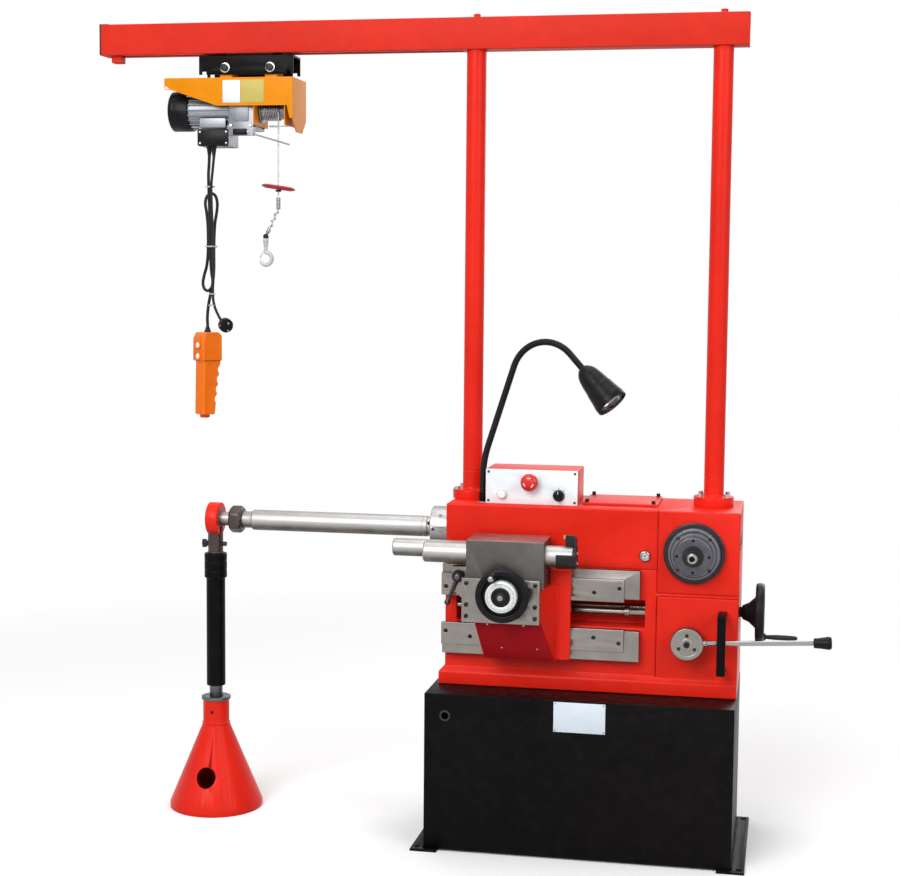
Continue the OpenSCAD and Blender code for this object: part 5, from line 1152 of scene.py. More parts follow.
class LATHE_OT_control_box(bpy.types.Operator):
    """Makes the control box, its panel, the three controls and their bezels."""

    bl_idname = "lathe.control_box"
    bl_label = "Control box"

    def execute(self, context):
        dress("control_box", red_paint, "control_box_case", "machine", "red_paint", edge=size("sheet_edge"))
        dress("control_panel", panel_paint, "control_panel_sheet", "machine", "panel", edge=0.5)
        s = Shape()
        for x in (-251, -32):
            for z in (867, 940):
                s.turned(blackened_steel, [(0, 3.4), (1.2, 3.1), (2.2, 1.8), (2.4, 0)], (x, PANEL_Y, z), FRONT, 20)
                s.block(chromed_steel, (x - 2.4, -60.5, z - 0.35), (x + 2.4, -60.1, z + 0.35), 0)
        # Bezels of the start button, the selector and the stop button
        s.turned(dial_enamel, [(0, 10.2), (0, 13.8), (1.6, 13.8), (2.6, 12.6), (2.6, 10.2)], in_panel(START_AT),
                 FRONT, 48, 0.5, ring=True)
        s.turned(black_plastic, [(0, 13.4), (0, 15.2), (0.25, 15.2), (0.25, 13.4)], in_panel(SELECTOR_AT), FRONT, 48,
                 ring=True)
        s.turned(cast_alloy, [(0, 8.4), (0, 19.0), (1.4, 19.0), (3.0, 16.5), (3.0, 8.4)], in_panel(STOP_AT), FRONT,
                 48, 0.6, ring=True)
        # Three marks over the selector
        for a in (-45, 0, 45):
            way = Matrix.Rotation(radians(a), 4, "Y")
            s.block(black_plastic, (-0.6, -58.3, 16.5), (0.6, -57.8, 20.5), 0,
                    place=Matrix.Translation(in_panel(SELECTOR_AT, 0)) @ way)
        s.place("panel_screws_and_bezels", "machine", "blackened_steel")
        s = Shape()
        s.solid(red_plastic, [(-34, 8), (-31, 12), (-27.8, 15.2), (-26.5, 18.0), (-24, 20.8), (-21, 22), (-18, 22),
                              (-17, 21), (-17, 8), (0, 8), (14, 8), (17, 7.6)], in_panel(STOP_AT), BACK, 64, 0.9)
        # Raised arrows round the head show the way to release it
        for k in range(3):
            turn = turned_at(in_panel(STOP_AT, 0), radians(120 * k), "Y")
            s.prism(white_plastic, [(-4.5, 10.6), (3.2, 10.6), (3.2, 9.4), (6.2, 11.6), (3.2, 13.8), (3.2, 12.6),
                    (-4.5, 12.6)], "y", -90.6, -86.0, 0.2, 1, place=turn)
        s.place("stop_button_head", "stop_button", "red_plastic", "emergency_stop")
        s = Shape()
        s.solid(white_plastic, [(-12, 6), (-11.4, 9.6), (-10.6, 10), (-3.2, 10), (-3.2, 8), (0, 8), (16, 8),
                (17, 7.4)], in_panel(START_AT), BACK, 48, 0.7)
        s.place("start_button_cap", "white_button", "white_plastic", "start_button")
        s = Shape()
        s.solid(black_plastic, [(-9, 11.2), (-7.8, 12.6), (-0.4, 13), (-0.4, 8), (16, 8), (17, 7.4)],
                in_panel(SELECTOR_AT), BACK, 48, 0.7)
        s.prism(black_plastic, [(-4, -12.4), (4, -12.4), (3.4, 4), (2.2, 12.6), (-2.2, 12.6), (-3.4, 4)], "y", -77.6,
                -66.5, 0.9, 2, place=Matrix.Translation(in_panel(SELECTOR_AT, 0)))
        s.block(white_plastic, (-0.6, -77.95, 5), (0.6, -77.3, 12), 0.1, 1,
                place=Matrix.Translation(in_panel(SELECTOR_AT, 0)))
        s.place("selector_knob", "selector", "black_plastic", "selector_switch")
        return {"FINISHED"}


class LATHE_OT_beam(bpy.types.Operator):
    """Makes the overhead beam with its caps and bolts, and the trolley with its wheels."""

    bl_idname = "lathe.beam"
    bl_label = "Beam and trolley"

    def execute(self, context):
        dress("beam", beam_shaded_enamel, "beam_tube", "machine", "red_paint", where=beam_faces, edge=2.6)
        s = Shape()
        # Lip of the black end cap
        s.block(black_plastic, (BEAM_LEFT, 4.6, BEAM_TOP + 0.05), (-1284, 63.4, BEAM_TOP + 0.9), 0.2)
        s.block(black_plastic, (BEAM_LEFT, 3.15, BEAM_FOOT), (-1304.8, 3.95, BEAM_TOP), 0.2)
        for x in COLUMNS_X:
            s.turned(zinc_steel, [(0, 6), (0, 13.5), (1.8, 13.5), (1.8, 6)], (x, BEAM_Y, BEAM_TOP), UP, 32, 0.4)
        s.place("beam_bolt_washers", "machine", "red_paint")
        dress("trolley", black_paint, "trolley_channel", "hoist", "black_paint", edge=1.4)
        for side, x in (("left", -985), ("right", -833)):
            s = Shape()
            s.solid(dark_steel_y, [(-17.6, 4), (-17.2, 5), (-16.4, 5), (-16.4, 11), (-17.4, 13), (-17.4, 16.4),
                    (-15.2, 18.9), (-8, 19), (-6, 18.4), (-5.6, 16), (-5.6, 5), (5.6, 5), (5.6, 16), (6, 18.4),
                    (8, 19), (15.2, 18.9), (17.4, 16.4), (17.4, 13), (16.4, 11), (16.4, 5), (17.2, 5), (17.6, 4)],
                    (x, BEAM_Y, axle_height(side)), BACK, 48, 0.4)
            s.place(side + "_trolley_wheel_pair", side + "_wheels", "dark_steel", side + "_trolley_wheels")
        return {"FINISHED"}


def axle_height(side):
    """Height of a trolley axle, from its CAD node."""
    low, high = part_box(side + "_trolley_wheels")
    return (low.z + high.z) / 2 / MM


class LATHE_OT_hoist(bpy.types.Operator):
    """Makes the hoist cover and the hoist motor with its gearbox and terminal box."""

    bl_idname = "lathe.hoist"
    bl_label = "Hoist"

    def execute(self, context):
        dress("hoist_cover", orange_paint, "hoist_cover_sheet", "hoist", "orange_paint", where=cover_faces, edge=0.9)
        s = Shape()
        # Bare plates on the cover, washers under the trolley bolts
        s.block(plate_metal, (-960, -30.9, 1868), (-913, COVER_FACE_Y, 1925), 0.3)
        s.block(olive_plate, (-911, -30.7, 1868), (-850, COVER_FACE_Y, 1926), 0.3)
        for x in (-963, -842):
            for way, y in ((FRONT, -1), (BACK, 69)):
                s.turned(zinc_steel, [(0, 6.2), (0, 12.6), (1.8, 12.6), (1.8, 6.2)], (x, y, 1960), way, 32, 0.3,
                         ring=True)
                s.hexagon(blackened_steel, (x, y + (-1.8 if way == FRONT else 1.8), 1960), way, 16.2, 8.4, 0.8,
                          turn=12)
        # Rolled lip along the front edge of the cover
        lip = ((-1117, 1914), (-1116, 1904), (-1100, 1903.5), (-1045, 1895), (-1000, 1878), (-978, 1862),
               (-900, 1861.5), (-792, 1861.5))
        s.line(orange_paint, [(x, COVER_FACE_Y, z) for x, z in lip], 2.6, sides=8)
        s.place("hoist_cover_plates", "hoist", "orange_paint")
        dress("hoist_motor", cast_alloy, "hoist_motor_body", "hoist", "cast_alloy", where=motor_faces, edge=0.8,
              steps=2)
        s = Shape()
        # Domed fan cover with rings of vent ribs
        s.turned(black_plastic, [(0, 12), (0, 30), (-3.2, 36), (-4.0, 40), (-3.6, 46), (-1, 50), (4, 51.3),
                 (10, 51.7), (14, 51.3)], (FAN_END_X, BEAM_Y, HOIST_Z), RIGHT, 72, 1.2)
        for a in round_about(24):
            place = turned_at((FAN_END_X, BEAM_Y, HOIST_Z), a, "X")
            s.block(black_plastic, (-1.8, -1.0, 11), (2.6, 1.0, 37), 0.4, 1, place=place)
        s.turned(black_plastic, [(3, 0), (-2.2, 0), (-2.8, 8), (-1.8, 12.5), (3, 12.5)], (FAN_END_X, BEAM_Y, HOIST_Z),
                 RIGHT, 40, 0.8)
        # Capacitor block over the terminal box, its ribs, and the terminal cover with its screws
        s.block(cast_alloy, (-1030, -12.4, 1806), (-958, -6.8, 1832), 2.4, 3)
        for k in range(5):
            s.block(black_plastic, (-949 + 4.6 * k, -12.6, 1790), (-946.8 + 4.6 * k, -7.4, 1830), 0.4, 1)
        s.block(black_plastic, (-1036, -9.2, 1762), (-951.5, -7.4, 1801), 1.6, 2)
        for x in (-1029, -958):
            for z in (1767, 1796):
                s.turned(zinc_steel, [(0, 3.2), (1.1, 2.8), (1.8, 1.2), (1.9, 0)], (x, -9.2, z), FRONT, 16)
        # Gearbox cover screws, breather and limit switch
        for y in (-4, 72):
            for z in (1812, 1893):
                s.cap_screw(blackened_steel, (-883, y, z), RIGHT, 8, 3.4, 4, 2)
        for x in (-943, -890):
            for z in (1812, 1893):
                s.cap_screw(zinc_steel, (x, -14, z), FRONT, 8, 4, 4, 2.4)
        s.block(cast_alloy, (-938, -16.4, 1822), (-895, -13.6, 1884), 1.6, 2)
        s.block(black_plastic, (-936, -22, 1787), (-900, -8, 1803), 1.6, 2)
        s.solid(zinc_steel, [(0, 3.2), (5, 3.2), (5, 2.2), (8, 2.2)], (-900, -15, 1795), RIGHT, 16, 0.4)
        # Tie bolts along the motor
        for y, z in ((-11, 1887), (79, 1887), (79, 1817)):
            s.rod(zinc_steel, (-1064, y, z), (-949, y, z), 4.4, 0.5, 12)
        # Rope guide: a loop of wire under the drum
        loop = [(ROPE_X - 12 + 12 * cos(a), ROPE_Y + 9 * sin(a), 1810) for a in [pi * k / 12 for k in range(22)]]
        s.line(zinc_steel, [(-796, 20, 1812), (-804, 12, 1811)] + loop, 3.2, sides=8)
        s.place("hoist_motor_details", "hoist", "cast_alloy")
        return {"FINISHED"}


class LATHE_OT_handset(bpy.types.Operator):
    """Makes the pendant handset and its two buttons."""

    bl_idname = "lathe.handset"
    bl_label = "Handset"

    def execute(self, context):
        there = turned_at((HANDSET_X, BEAM_Y, 0), radians(HANDSET_TURN), "Z")
        dress("pendant_handset", orange_plastic, "handset_shell", "hoist", "orange_plastic", where=handset_faces,
              edge=3.2, steps=4, angle=40)
        s = Shape()
        # Raised frame round the buttons, seam between the halves, cable sleeve and screws
        for z in BUTTONS_Z.values():
            s.turned(orange_plastic, [(0, 8.4), (0, 11.6), (2.4, 11.0), (3.2, 9.8), (3.2, 8.4)],
                     there @ Vector((-30, 0, z)), there.to_3x3() @ Vector((-1, 0, 0)), 40, 0.5, ring=True)
        s.block(orange_plastic, (-31.6, -18, 1203.5), (-29.6, 18, 1207), 0.6, 2, place=there)
        s.block(orange_plastic, (-31.6, -18, 1251), (-29.6, 18, 1254.5), 0.6, 2, place=there)
        for side in (-1, 1):
            s.block(orange_plastic, (-31.6, side * 16.5 - 1.6, 1205), (-29.6, side * 16.5 + 1.6, 1253), 0.6, 2,
                    place=there)
        for z in (1262, 1228, 1150, 1085):
            s.turned(blackened_steel, [(0, 3.0), (0.5, 2.6), (0.6, 0)],
                     there @ Vector((4 if z > 1202 else -8, 24 if z > 1202 else 20.5, z)),
                     there.to_3x3() @ Vector((0, 1, 0)), 16)
        s.turned(cable_rubber, [(0, 4.2), (0, 9.4), (2.4, 9.4), (3.2, 8.2), (5.8, 8.0), (6.2, 7.2), (8.6, 7.0),
                 (9, 6.2), (11.4, 6.0), (11.8, 5.4), (15, 5.0), (15, 4.2)], (HANDSET_X, BEAM_Y, 1276.6), UP, 32, 0.4,
                 ring=True)
        s.place("handset_trim", "hoist", "orange_plastic")
        for body, node in (("push_up", "up_button"), ("push_down", "down_button")):
            s = Shape()
            s.solid(white_plastic, [(-4, 5.4), (-3.2, 7.4), (-2, 8), (9, 8), (10, 7.4)],
                    there @ Vector((-30, 0, BUTTONS_Z[node])), there.to_3x3() @ Vector((1, 0, 0)), 40, 0.6)
            s.place(node + "_cap", body, "white_plastic", node)
        return {"FINISHED"}


class LATHE_OT_drum_spindle(bpy.types.Operator):
    """Makes the drum spindle, arbor, nut and the drive inside the cabinet."""

    bl_idname = "lathe.drum_spindle"
    bl_label = "Drum spindle and drive"

    def execute(self, context):
        fine = size("machined_edge")
        dress("drum_spindle", ground_bar, "drum_spindle_nose", "drum_shaft", "bare_steel", edge=fine)
        s = Shape()
        for a in round_about(4, 45):
            at = (-412.1, SPINDLE_Y + 40 * cos(a), SPINDLE_Z + 40 * sin(a))
            s.solid(blackened_steel, [(0, 2.6), (1.6, 2.6)], at, LEFT, 16, 0.3)
        for a in round_about(3, 20):
            way = Vector((0, cos(a), sin(a)))
            s.solid(blackened_steel, [(0, 3.6), (0.7, 3.4), (0.7, 1.8), (0.2, 1.6)],
                    Vector((-385, SPINDLE_Y, SPINDLE_Z)) + way * 53.6, way, 20, 0.2)
        s.place("drum_spindle_screws", "drum_shaft", "bare_steel")
        s = Shape()
        s.solid(ground_bar, [(-1023.2, 16.2), (-1020.8, 18.5), (-932, 18.5), (-927.7, 18.5), (-927.7, 21.2),
                             (-926.9, 22), (-901, 22), (-901, 25), (-897, 27), (-440, 27), (-438.6, 26.4),
                             (-436, 26.4), (-434.6, 27), (-426, 27), (-425, 25), (-412.2, 25), (-412.2, 22),
                             (-378, 22)], (0, SPINDLE_Y, SPINDLE_Z), RIGHT, 96, 0.6)
        s.solid(blackened_steel, [(-0.6, 4.6), (0.5, 4.6), (1.1, 4.0), (1.1, 2.2), (-0.4, 2.0)], (-419, 12.3, 792),
                FRONT, 24)
        s.place("arbor_bar", "drum_shaft", "chromed_steel", "arbor")
        dress("arbor_nut", stained_steel, "arbor_hex_nut", "nut", "dark_steel", edge=1.0)
        for node, paint, name, body, slot, edge in (
            ("input_shaft", dark_steel, "input_shaft_and_pulley", "gearbox_input", "dark_steel", 0.4),
            ("motor_pulley", dark_steel, "motor_pulley_turned", "motor_drive", "dark_steel", 0.4),
            ("motor", black_paint, "motor_housing", "machine", "dark_steel", 0.9),
            ("drive_belt", belt_rubber, "drive_belt_loop", "machine", "belt_rubber", 0.8),
        ):
            dress(node, paint, name, body, slot, edge=edge, steps=2)
        return {"FINISHED"}


class LATHE_OT_disc_spindle(bpy.types.Operator):
    """Makes the stepped disc spindle on the gearbox front."""

    bl_idname = "lathe.disc_spindle"
    bl_label = "Disc spindle"

    def execute(self, context):
        x, z = DISC_X, DISC_Z
        face = (x, GEARBOX_FACE_Y, z)
        s = Shape()
        s.solid(black_iron, [(-100, 20), (2.7, 20), (3.3, 20), (3.3, 71), (5, 74.2), (8, 75), (17, 75), (18.4, 73.6),
                             (18.8, 71.5), (19, 64.2)], face, FRONT, 96, 0.5)
        s.solid(step_iron, [(18.9, 64), (33, 64), (35.4, 62.6), (37, 60.4), (37, 56.5), (35.6, 55.4), (35.6, 50.6),
                            (37, 49.6), (37, 46.6), (37.2, 46.6)], face, FRONT, 96, 0.5)
        s.solid(disc_iron, [(37, 47), (63, 47), (65.4, 46.2), (67, 43.8), (67, 26.2), (66.4, 26.0)], face, FRONT, 96,
                0.5)
        s.turned(black_iron, [(66.3, 26), (66.6, 26), (66.6, 14.2), (66.3, 14.2)], face, FRONT, 64, ring=True)
        s.solid(black_iron, [(66.2, 13.5), (97, 13.5)], face, FRONT, 64, 0.5)
        s.turned(chromed_steel, [(96.8, 6.6), (96.8, 13.2), (101, 13.5), (104.6, 12.4), (107, 10.4), (107, 7.2),
                 (105.6, 6.6)], face, FRONT, 64, 0.5, ring=True)
        s.solid(black_plastic, [(97.2, 6.8), (97.8, 6.8)], face, FRONT, 32)
        # Black discs on the front disc stand for its four holes, as painted shade; the screws sit on the two steps
        # behind
        for a, b in zip(round_about(4), round_about(4, 45)):
            at = (x + 39.0 * cos(a), -160.8, z + 39.0 * sin(a))
            s.turned(black_plastic, [(-0.4, 0), (-0.4, 4.0), (0.5, 4.0), (0.7, 3.2), (0.3, 0)], at, FRONT, 24)
            s.cap_screw(blackened_steel, (x + 69.5 * cos(b), -112.6, z + 69.5 * sin(b)), FRONT, 8, 1.6, 4.2, 1.3)
            s.cap_screw(blackened_steel, (x + 55.4 * cos(b), -129.2, z + 55.4 * sin(b)), FRONT, 8, 3.0, 4.2, 2)
        # Bright rub marks on the rims
        for r, y in ((75.05, -103.5), (64.05, -121.5), (47.05, -150.5)):
            s.turned(bare_steel_y, [(-2.2, r - 0.4), (-2.0, r), (2.0, r), (2.2, r - 0.4)], (x, y, z), FRONT, 96,
                     ring=True)
        s.place("disc_spindle_turned", "disc_shaft", "dark_steel", "disc_spindle")
        return {"FINISHED"}


class LATHE_OT_feed(bpy.types.Operator):
    """Makes the threaded lead screw, side handwheel, trip rod and feed lever."""

    bl_idname = "lathe.feed"
    bl_label = "Feed drive"

    def execute(self, context):
        s = Shape()
        # Trapezoidal thread, one pitch of profile spun along the axis
        pitch, r, steps = size("screw_pitch"), 8.0, 24
        root = r - 1.6
        low, high = -340.0, 190.0
        turns = round((high - low) / pitch)
        bm = bmesh.new()
        points = [(0, root), (pitch * 0.28, root), (pitch * 0.4, r), (pitch * 0.72, r), (pitch * 0.84, root),
                  (pitch, root)]
        verts = [bm.verts.new((p[1], 0, p[0])) for p in points]
        edges = [bm.edges.new(pair) for pair in zip(verts, verts[1:])]
        bmesh.ops.spin(bm, geom=verts + edges, cent=(0, 0, 0), axis=(0, 0, 1), dvec=(0, 0, pitch / steps),
                       angle=2 * pi * (turns - 1), steps=steps * (turns - 1), use_merge=False)
        bmesh.ops.remove_doubles(bm, verts=bm.verts, dist=0.02)
        bmesh.ops.recalc_face_normals(bm, faces=bm.faces)
        s.take(bm, bare_steel, facing(RIGHT, (low, *LEAD_SCREW_AT[1:])), fix=False)
        s.turned(bare_steel, [(0, 0), (0, 6.6), (1.4, 8), (pitch * 0.4, 8), (pitch * 0.4, 6.0)],
                 (low, *LEAD_SCREW_AT[1:]), RIGHT, 32)
        s.turned(bare_steel, [(high - pitch, 5.8), (high - pitch, 8), (341, 8), (341, 21), (349.6, 21), (349.6, 8),
                              (406, 8), (406, 0)], LEAD_SCREW_AT, RIGHT, 40, 0.4)
        s.place("lead_screw_thread", "feed_screw", "bare_steel", "lead_screw")
        s = Shape()
        # Dished wheel: hub, web, rim with a rounded section
        s.turned(black_plastic, [(380.6, 8.3), (380.6, 13), (388, 13), (388, 17), (404, 24), (419, 38), (423.5, 56),
                 (424, 59), (421, 61), (420.2, 66), (421.5, 71), (426, 73), (436, 73), (440.6, 71), (442, 66),
                 (441.2, 61), (437.5, 59.4), (433.5, 58), (430.4, 40), (427.5, 26), (429, 20), (441, 17.4), (442, 16),
                 (442, 0)], LEAD_SCREW_AT, RIGHT, 80, 0.9)
        s.solid(chromed_steel, [(441.6, 7), (443, 6.2)], LEAD_SCREW_AT, RIGHT, 24, 0.3)
        s.turned(blackened_steel, [(438, 0), (438, 9), (444, 9), (446, 7.4), (448, 5), (456, 5.6), (472, 6.5),
                 (498, 6.4), (516, 5.6), (522, 4.2), (524, 0)], (0, LEAD_SCREW_AT[1], LEAD_SCREW_AT[2] - SIDE_GRIP_R),
                 RIGHT, 32, 0.8)
        s.place("side_handwheel_rim", "feed_screw", "black_plastic", "side_handwheel")
        s = Shape()
        s.solid(bare_steel, [(-340, 8.4), (-339, 9), (100, 9), (100, 12.6), (101, 13.5), (112, 13.5), (113, 12.6),
                             (113, 9), (209, 9), (210, 8.4)], TRIP_ROD_AT, RIGHT, 48, 0.4)
        s.cap_screw(blackened_steel, (106.5, -92.6, TRIP_ROD_AT[2]), FRONT, 6, 1.6, 3, 1.2)
        s.place("trip_rod_and_collar", "trip", "bare_steel", "trip_rod")
        s = Shape()
        x, z = LEVER_AT
        s.solid(bare_steel_y, [(22, 38.4), (23.4, 40), (53.6, 40), (56, 38.2), (56, 30), (55.2, 29.4), (55.2, 14),
                (56, 13.4)], (x, -97, z), FRONT, 72, 0.6)
        s.rod(bare_steel_y, (x, -119.5, z), (x, -82, z), 24, 0.4)
        for a in round_about(3, 90):
            s.cap_screw(blackened_steel, (x + 22 * cos(a), -152.4, z + 22 * sin(a)), FRONT, 9, 1.2, 4.6, 0.9)
        s.cap_screw(blackened_steel, (x, -152.8, z), FRONT, 16, 4.5, 8, 3.6)
        way = Vector((cos(radians(LEVER_TILT)), 0, sin(radians(LEVER_TILT))))
        axis = Vector((x, -136, z))
        s.solid(chromed_steel, [(30, 8.6), (46, 8.6), (49, 6.25), (304, 6.25)], axis, way, 32, 0.8)
        s.solid(black_plastic, [(303, 11.4), (304.4, 12), (318, 13), (336, 15.8), (341, 16), (344.6, 14), (346, 11)],
                axis, way, 40, 1.2)
        s.solid(chromed_steel, [(345.6, 3), (346.4, 2.4)], axis, way, 20)
        s.place("feed_lever_and_knob", "lever", "bare_steel", "feed_lever")
        return {"FINISHED"}


# Small apron screws as (x, z), the top of the sloping face as (y, z), and its slope
APRON_SCREWS = ((-221.5, 583), (-131.5, 583), (-191, 518), (-103, 518))
APRON_TOP, APRON_SLOPE = (-228, 592), 0.6
# Corner of the screw bracket's plate, and its screws from there
BRACKET_CORNER = (-280, 592)
BRACKET_SCREWS = ((11, 15), (11, 43), (180, 15), (180, 43), (11, 96), (180, 96))


class LATHE_OT_saddle(bpy.types.Operator):
    """Makes the saddle, its clamp lever, the cross slide and the screw bracket."""

    bl_idname = "lathe.saddle"
    bl_label = "Saddle and cross slide"

    def execute(self, context):
        dress("saddle", red_paint, "saddle_casting", "carriage", "red_paint", where=saddle_faces, edge=2.6)
        s = Shape()
        # Small screws on the sloping apron face, which leans 0.6 back for each 1 down
        lean = Vector((0, -105, -63)).normalized()
        for x, z in APRON_SCREWS:
            at = Vector((x, APRON_TOP[0] + (APRON_TOP[1] - z) * APRON_SLOPE, z))
            s.turned(zinc_steel, [(-0.3, 0), (-0.3, 2.6), (0.9, 2.3), (1.5, 1.2), (1.6, 0)], at, lean, 20)
        # Rounded weld between the apron and its flange
        s.line(red_paint, [(-57, -153.6, 490 + 8 * k) for k in range(13)] + [(-57, -153.6, 600 + 10 * k)
               for k in range(9)], 6.0, sides=10)
        s.place("saddle_screws", "carriage", "red_paint")
        s = Shape()
        s.solid(blackened_steel, [(0.3, 15), (15.6, 15), (18.3, 12.6)], (CLAMP_X, -152, CLAMP_Z), FRONT, 40, 0.8)
        s.rod(blackened_steel, (CLAMP_X, -152.4, CLAMP_Z), (CLAMP_X, -142.8, CLAMP_Z), 9, 0.3, 24)
        a = radians(180 + CLAMP_LEAN)
        way = Vector((sin(a), 0, cos(a)))
        s.turned(stained_steel, [(4, 0), (4, 5.4), (20, 5.2), (30, 4.5), (60, 4.5), (64, 5.6), (70, 7.4), (75, 7.2),
                 (78.6, 4.6), (80, 0)], (CLAMP_X, -161.3, CLAMP_Z), way, 32, 0.8)
        s.hexagon(dark_steel_y, (CLAMP_X, -170.2, CLAMP_Z), FRONT, 13, 5.4, 0.6)
        s.place("saddle_clamp_handle", "clamp", "blackened_steel", "saddle_clamp_lever")
        dress("cross_slide", grey_iron, "cross_slide_block", "cross_table", "iron", where=slide_faces, edge=1.3)
        s = Shape()
        # Clamp screws of both bars
        for y in (-232, -112):
            s.cap_screw(blackened_steel, (-273, y + 3, 740), LEFT, 10, 3, 6, 2.2)
        for z in (700, 722):
            s.cap_screw(blackened_steel, (-81, -180, z), RIGHT, 9, 3, 5, 2.4)
        s.place("cross_slide_screws", "cross_table", "iron")
        dress("screw_bracket", bare_steel, "screw_bracket_plate", "cross_table", "bare_steel", edge=1.0)
        s = Shape()
        for right, up in BRACKET_SCREWS:
            at = (BRACKET_CORNER[0] + right, -255.2, BRACKET_CORNER[1] + up)
            s.cap_screw(blackened_steel, at, FRONT, 9.6, 4.2, 5, 3)
        s.place("screw_bracket_screws", "cross_table", "bare_steel")
        return {"FINISHED"}


class LATHE_OT_front_wheel(bpy.types.Operator):
    """Makes the front handwheel with its grip, and the feed dial with its marks."""

    bl_idname = "lathe.front_wheel"
    bl_label = "Front handwheel and dial"

    def execute(self, context):
        s = Shape()
        # Distances are in front of the bracket plate's face
        at = x, face, z = FRONT_WHEEL_AT
        s.solid(black_plastic, [(-19.5, 7), (0.3, 7), (0.3, 23.5), (16, 23.5), (16, 60), (17.6, 63.6), (21, 65.3),
                (26, 65.5), (31, 65.3), (34.6, 63.4), (36, 60), (36, 51.5), (34.8, 49), (30, 48.2), (26, 47),
                (26, 23.5), (49, 23.5), (52, 20.6)], at, FRONT, 96, 0.9)
        # Grip ridges round the rim
        for a in round_about(24):
            out = Vector((cos(a), 0, sin(a)))
            s.rod(black_plastic, Vector(at) + out * 64.4 + Vector((0, -19, 0)),
                  Vector(at) + out * 64.4 + Vector((0, -33, 0)), 2.0, 0.6, 10)
        s.solid(blackened_steel, [(50, 12), (53.6, 12), (54.6, 10.6)], at, FRONT, 40, 0.5)
        s.cap_screw(chromed_steel, (x, face - 53.6, z), FRONT, 13, 5, 6, 3)
        a = radians(FRONT_GRIP_TURN)
        grip = Vector((x + FRONT_GRIP_R * cos(a), 0, z - FRONT_GRIP_R * sin(a)))
        s.turned(chromed_steel, [(16, 0), (16, 5.4), (36, 5.4), (38, 7.5), (40, 6.4), (48, 6.2), (60, 7.2), (70, 7.5),
                 (77, 6.6), (79.4, 4.4), (80, 0)], (grip.x, face, grip.z), FRONT, 40, 0.8)
        s.rod(bare_steel_y, (x, -255.4, z), (x, -154.5, z), 14, 0.4)
        s.place("front_handwheel_rim", "front_wheel", "black_plastic", "front_handwheel")
        s = Shape()
        s.turned(dial_enamel, [(26.3, 23.55), (26.3, 39), (42, 39), (47.4, 38.2), (49.2, 36.6), (50, 34), (50, 25.4),
                 (49, 24), (49, 23.55)], at, FRONT, 96, 0.5, ring=True)
        for k, a in enumerate(round_about(DIAL_MARKS)):
            long = 6.6 if k % 10 == 0 else (4.6 if k % 5 == 0 else 3.2)
            place = turned_at(at, a, "Y")
            s.block(black_plastic, (-0.28, -50.12, 34.4 - long), (0.28, -49.9, 34.2), 0, place=place)
        for a in round_about(36):
            place = turned_at(at, a, "Y")
            s.block(blackened_steel, (-0.5, -41.5, 38.7), (0.5, -29, 39.25), 0, place=place)
        s.place("feed_dial_ring", "dial", "white_plastic", "feed_dial")
        return {"FINISHED"}


class LATHE_OT_tool_bars(bpy.types.Operator):
    """Makes both tool bars, the holder and the cutter."""

    bl_idname = "lathe.tool_bars"
    bl_label = "Tool bars"

    def execute(self, context):
        s = Shape()
        s.solid(ground_bar, [(-386, 6), (-383, 8), (-386, 10), (-386, 22.6), (-383.6, 25.4), (-382, 26), (-16, 26),
                             (-14, 24.6)], (0, LARGE_BAR_Y, BARS_Z), RIGHT, 80, 0.6)
        s.place("large_tool_bar_turned", "large_bar", "chromed_steel", "large_tool_bar")
        s = Shape()
        s.solid(ground_bar, [(-475, 5), (-472, 7), (-475, 9), (-475, 18.8), (-472.6, 21.6), (-471, 22), (-85, 22),
                             (-83, 20.6)], (0, SMALL_BAR_Y, BARS_Z), RIGHT, 80, 0.6)
        s.place("small_tool_bar_turned", "small_bar", "chromed_steel", "small_tool_bar")
        dress("tool_holder", blackened_steel, "tool_holder_block", "large_bar", "blackened_steel", where=holder_faces,
              edge=0.8)
        s = Shape()
        # Clamp screw and set screws of the holder, and the tip of the cutter
        for z in (737, 762):
            s.cap_screw(zinc_steel, (-7, LARGE_BAR_Y, z), RIGHT, 8, 2.8, 4, 2)
        for x in (-48, -30):
            s.cap_screw(blackened_steel, (x, -227.2, 748), FRONT, 8, 2.2, 4, 1.4)
        s.prism(brass, [(-39.5, 797.2), (-33.2, 797.2), (-33.2, 804.0), (-36.4, 807.4), (-39.5, 805.2)], "y", -203.5,
                -192.5, 0.4, 1)
        s.place("cutter_tip_and_screws", "large_bar", "blackened_steel")
        return {"FINISHED"}


LAMP_FOOT = Vector((-268, -42, 0))
LAMP_TURN, LAMP_LEAN, LAMP_END = -20.0, 19.5, 135.0
# Radii of the arm's two bends, its straight runs to them and to the head, and where the first bend starts
LAMP_BENDS, LAMP_RUN, LAMP_NECK, LAMP_RISE = (250, 95), 213.5, 48, 922


def lamp_place():
    return turned_at(LAMP_FOOT, radians(LAMP_TURN), "Z")


def lamp_arm():
    """Points of the lamp arm in its own plane, from the foot to the head."""
    lean, end = radians(LAMP_LEAN), radians(LAMP_END)

    def aim(a):
        return Vector((sin(a), 0, cos(a)))

    def out(a):
        return Vector((-cos(a), 0, sin(a)))

    wide, tight = LAMP_BENDS
    points = [Vector((0, 0, 880 + 4 * k)) for k in range(11)]
    middle = Vector((wide, 0, LAMP_RISE))
    points += [middle + wide * out(lean * k / 24) for k in range(1, 25)]
    start = points[-1]
    points += [start + aim(lean) * LAMP_RUN * k / 40 for k in range(1, 41)]
    centre = points[-1] - tight * out(lean)
    points += [centre + tight * out(lean + (end - lean) * k / 60) for k in range(1, 61)]
    head = points[-1] + aim(end) * LAMP_NECK
    points += [points[-1] + aim(end) * LAMP_NECK * k / 12 for k in range(1, 13)]
    return points, head, aim(end)


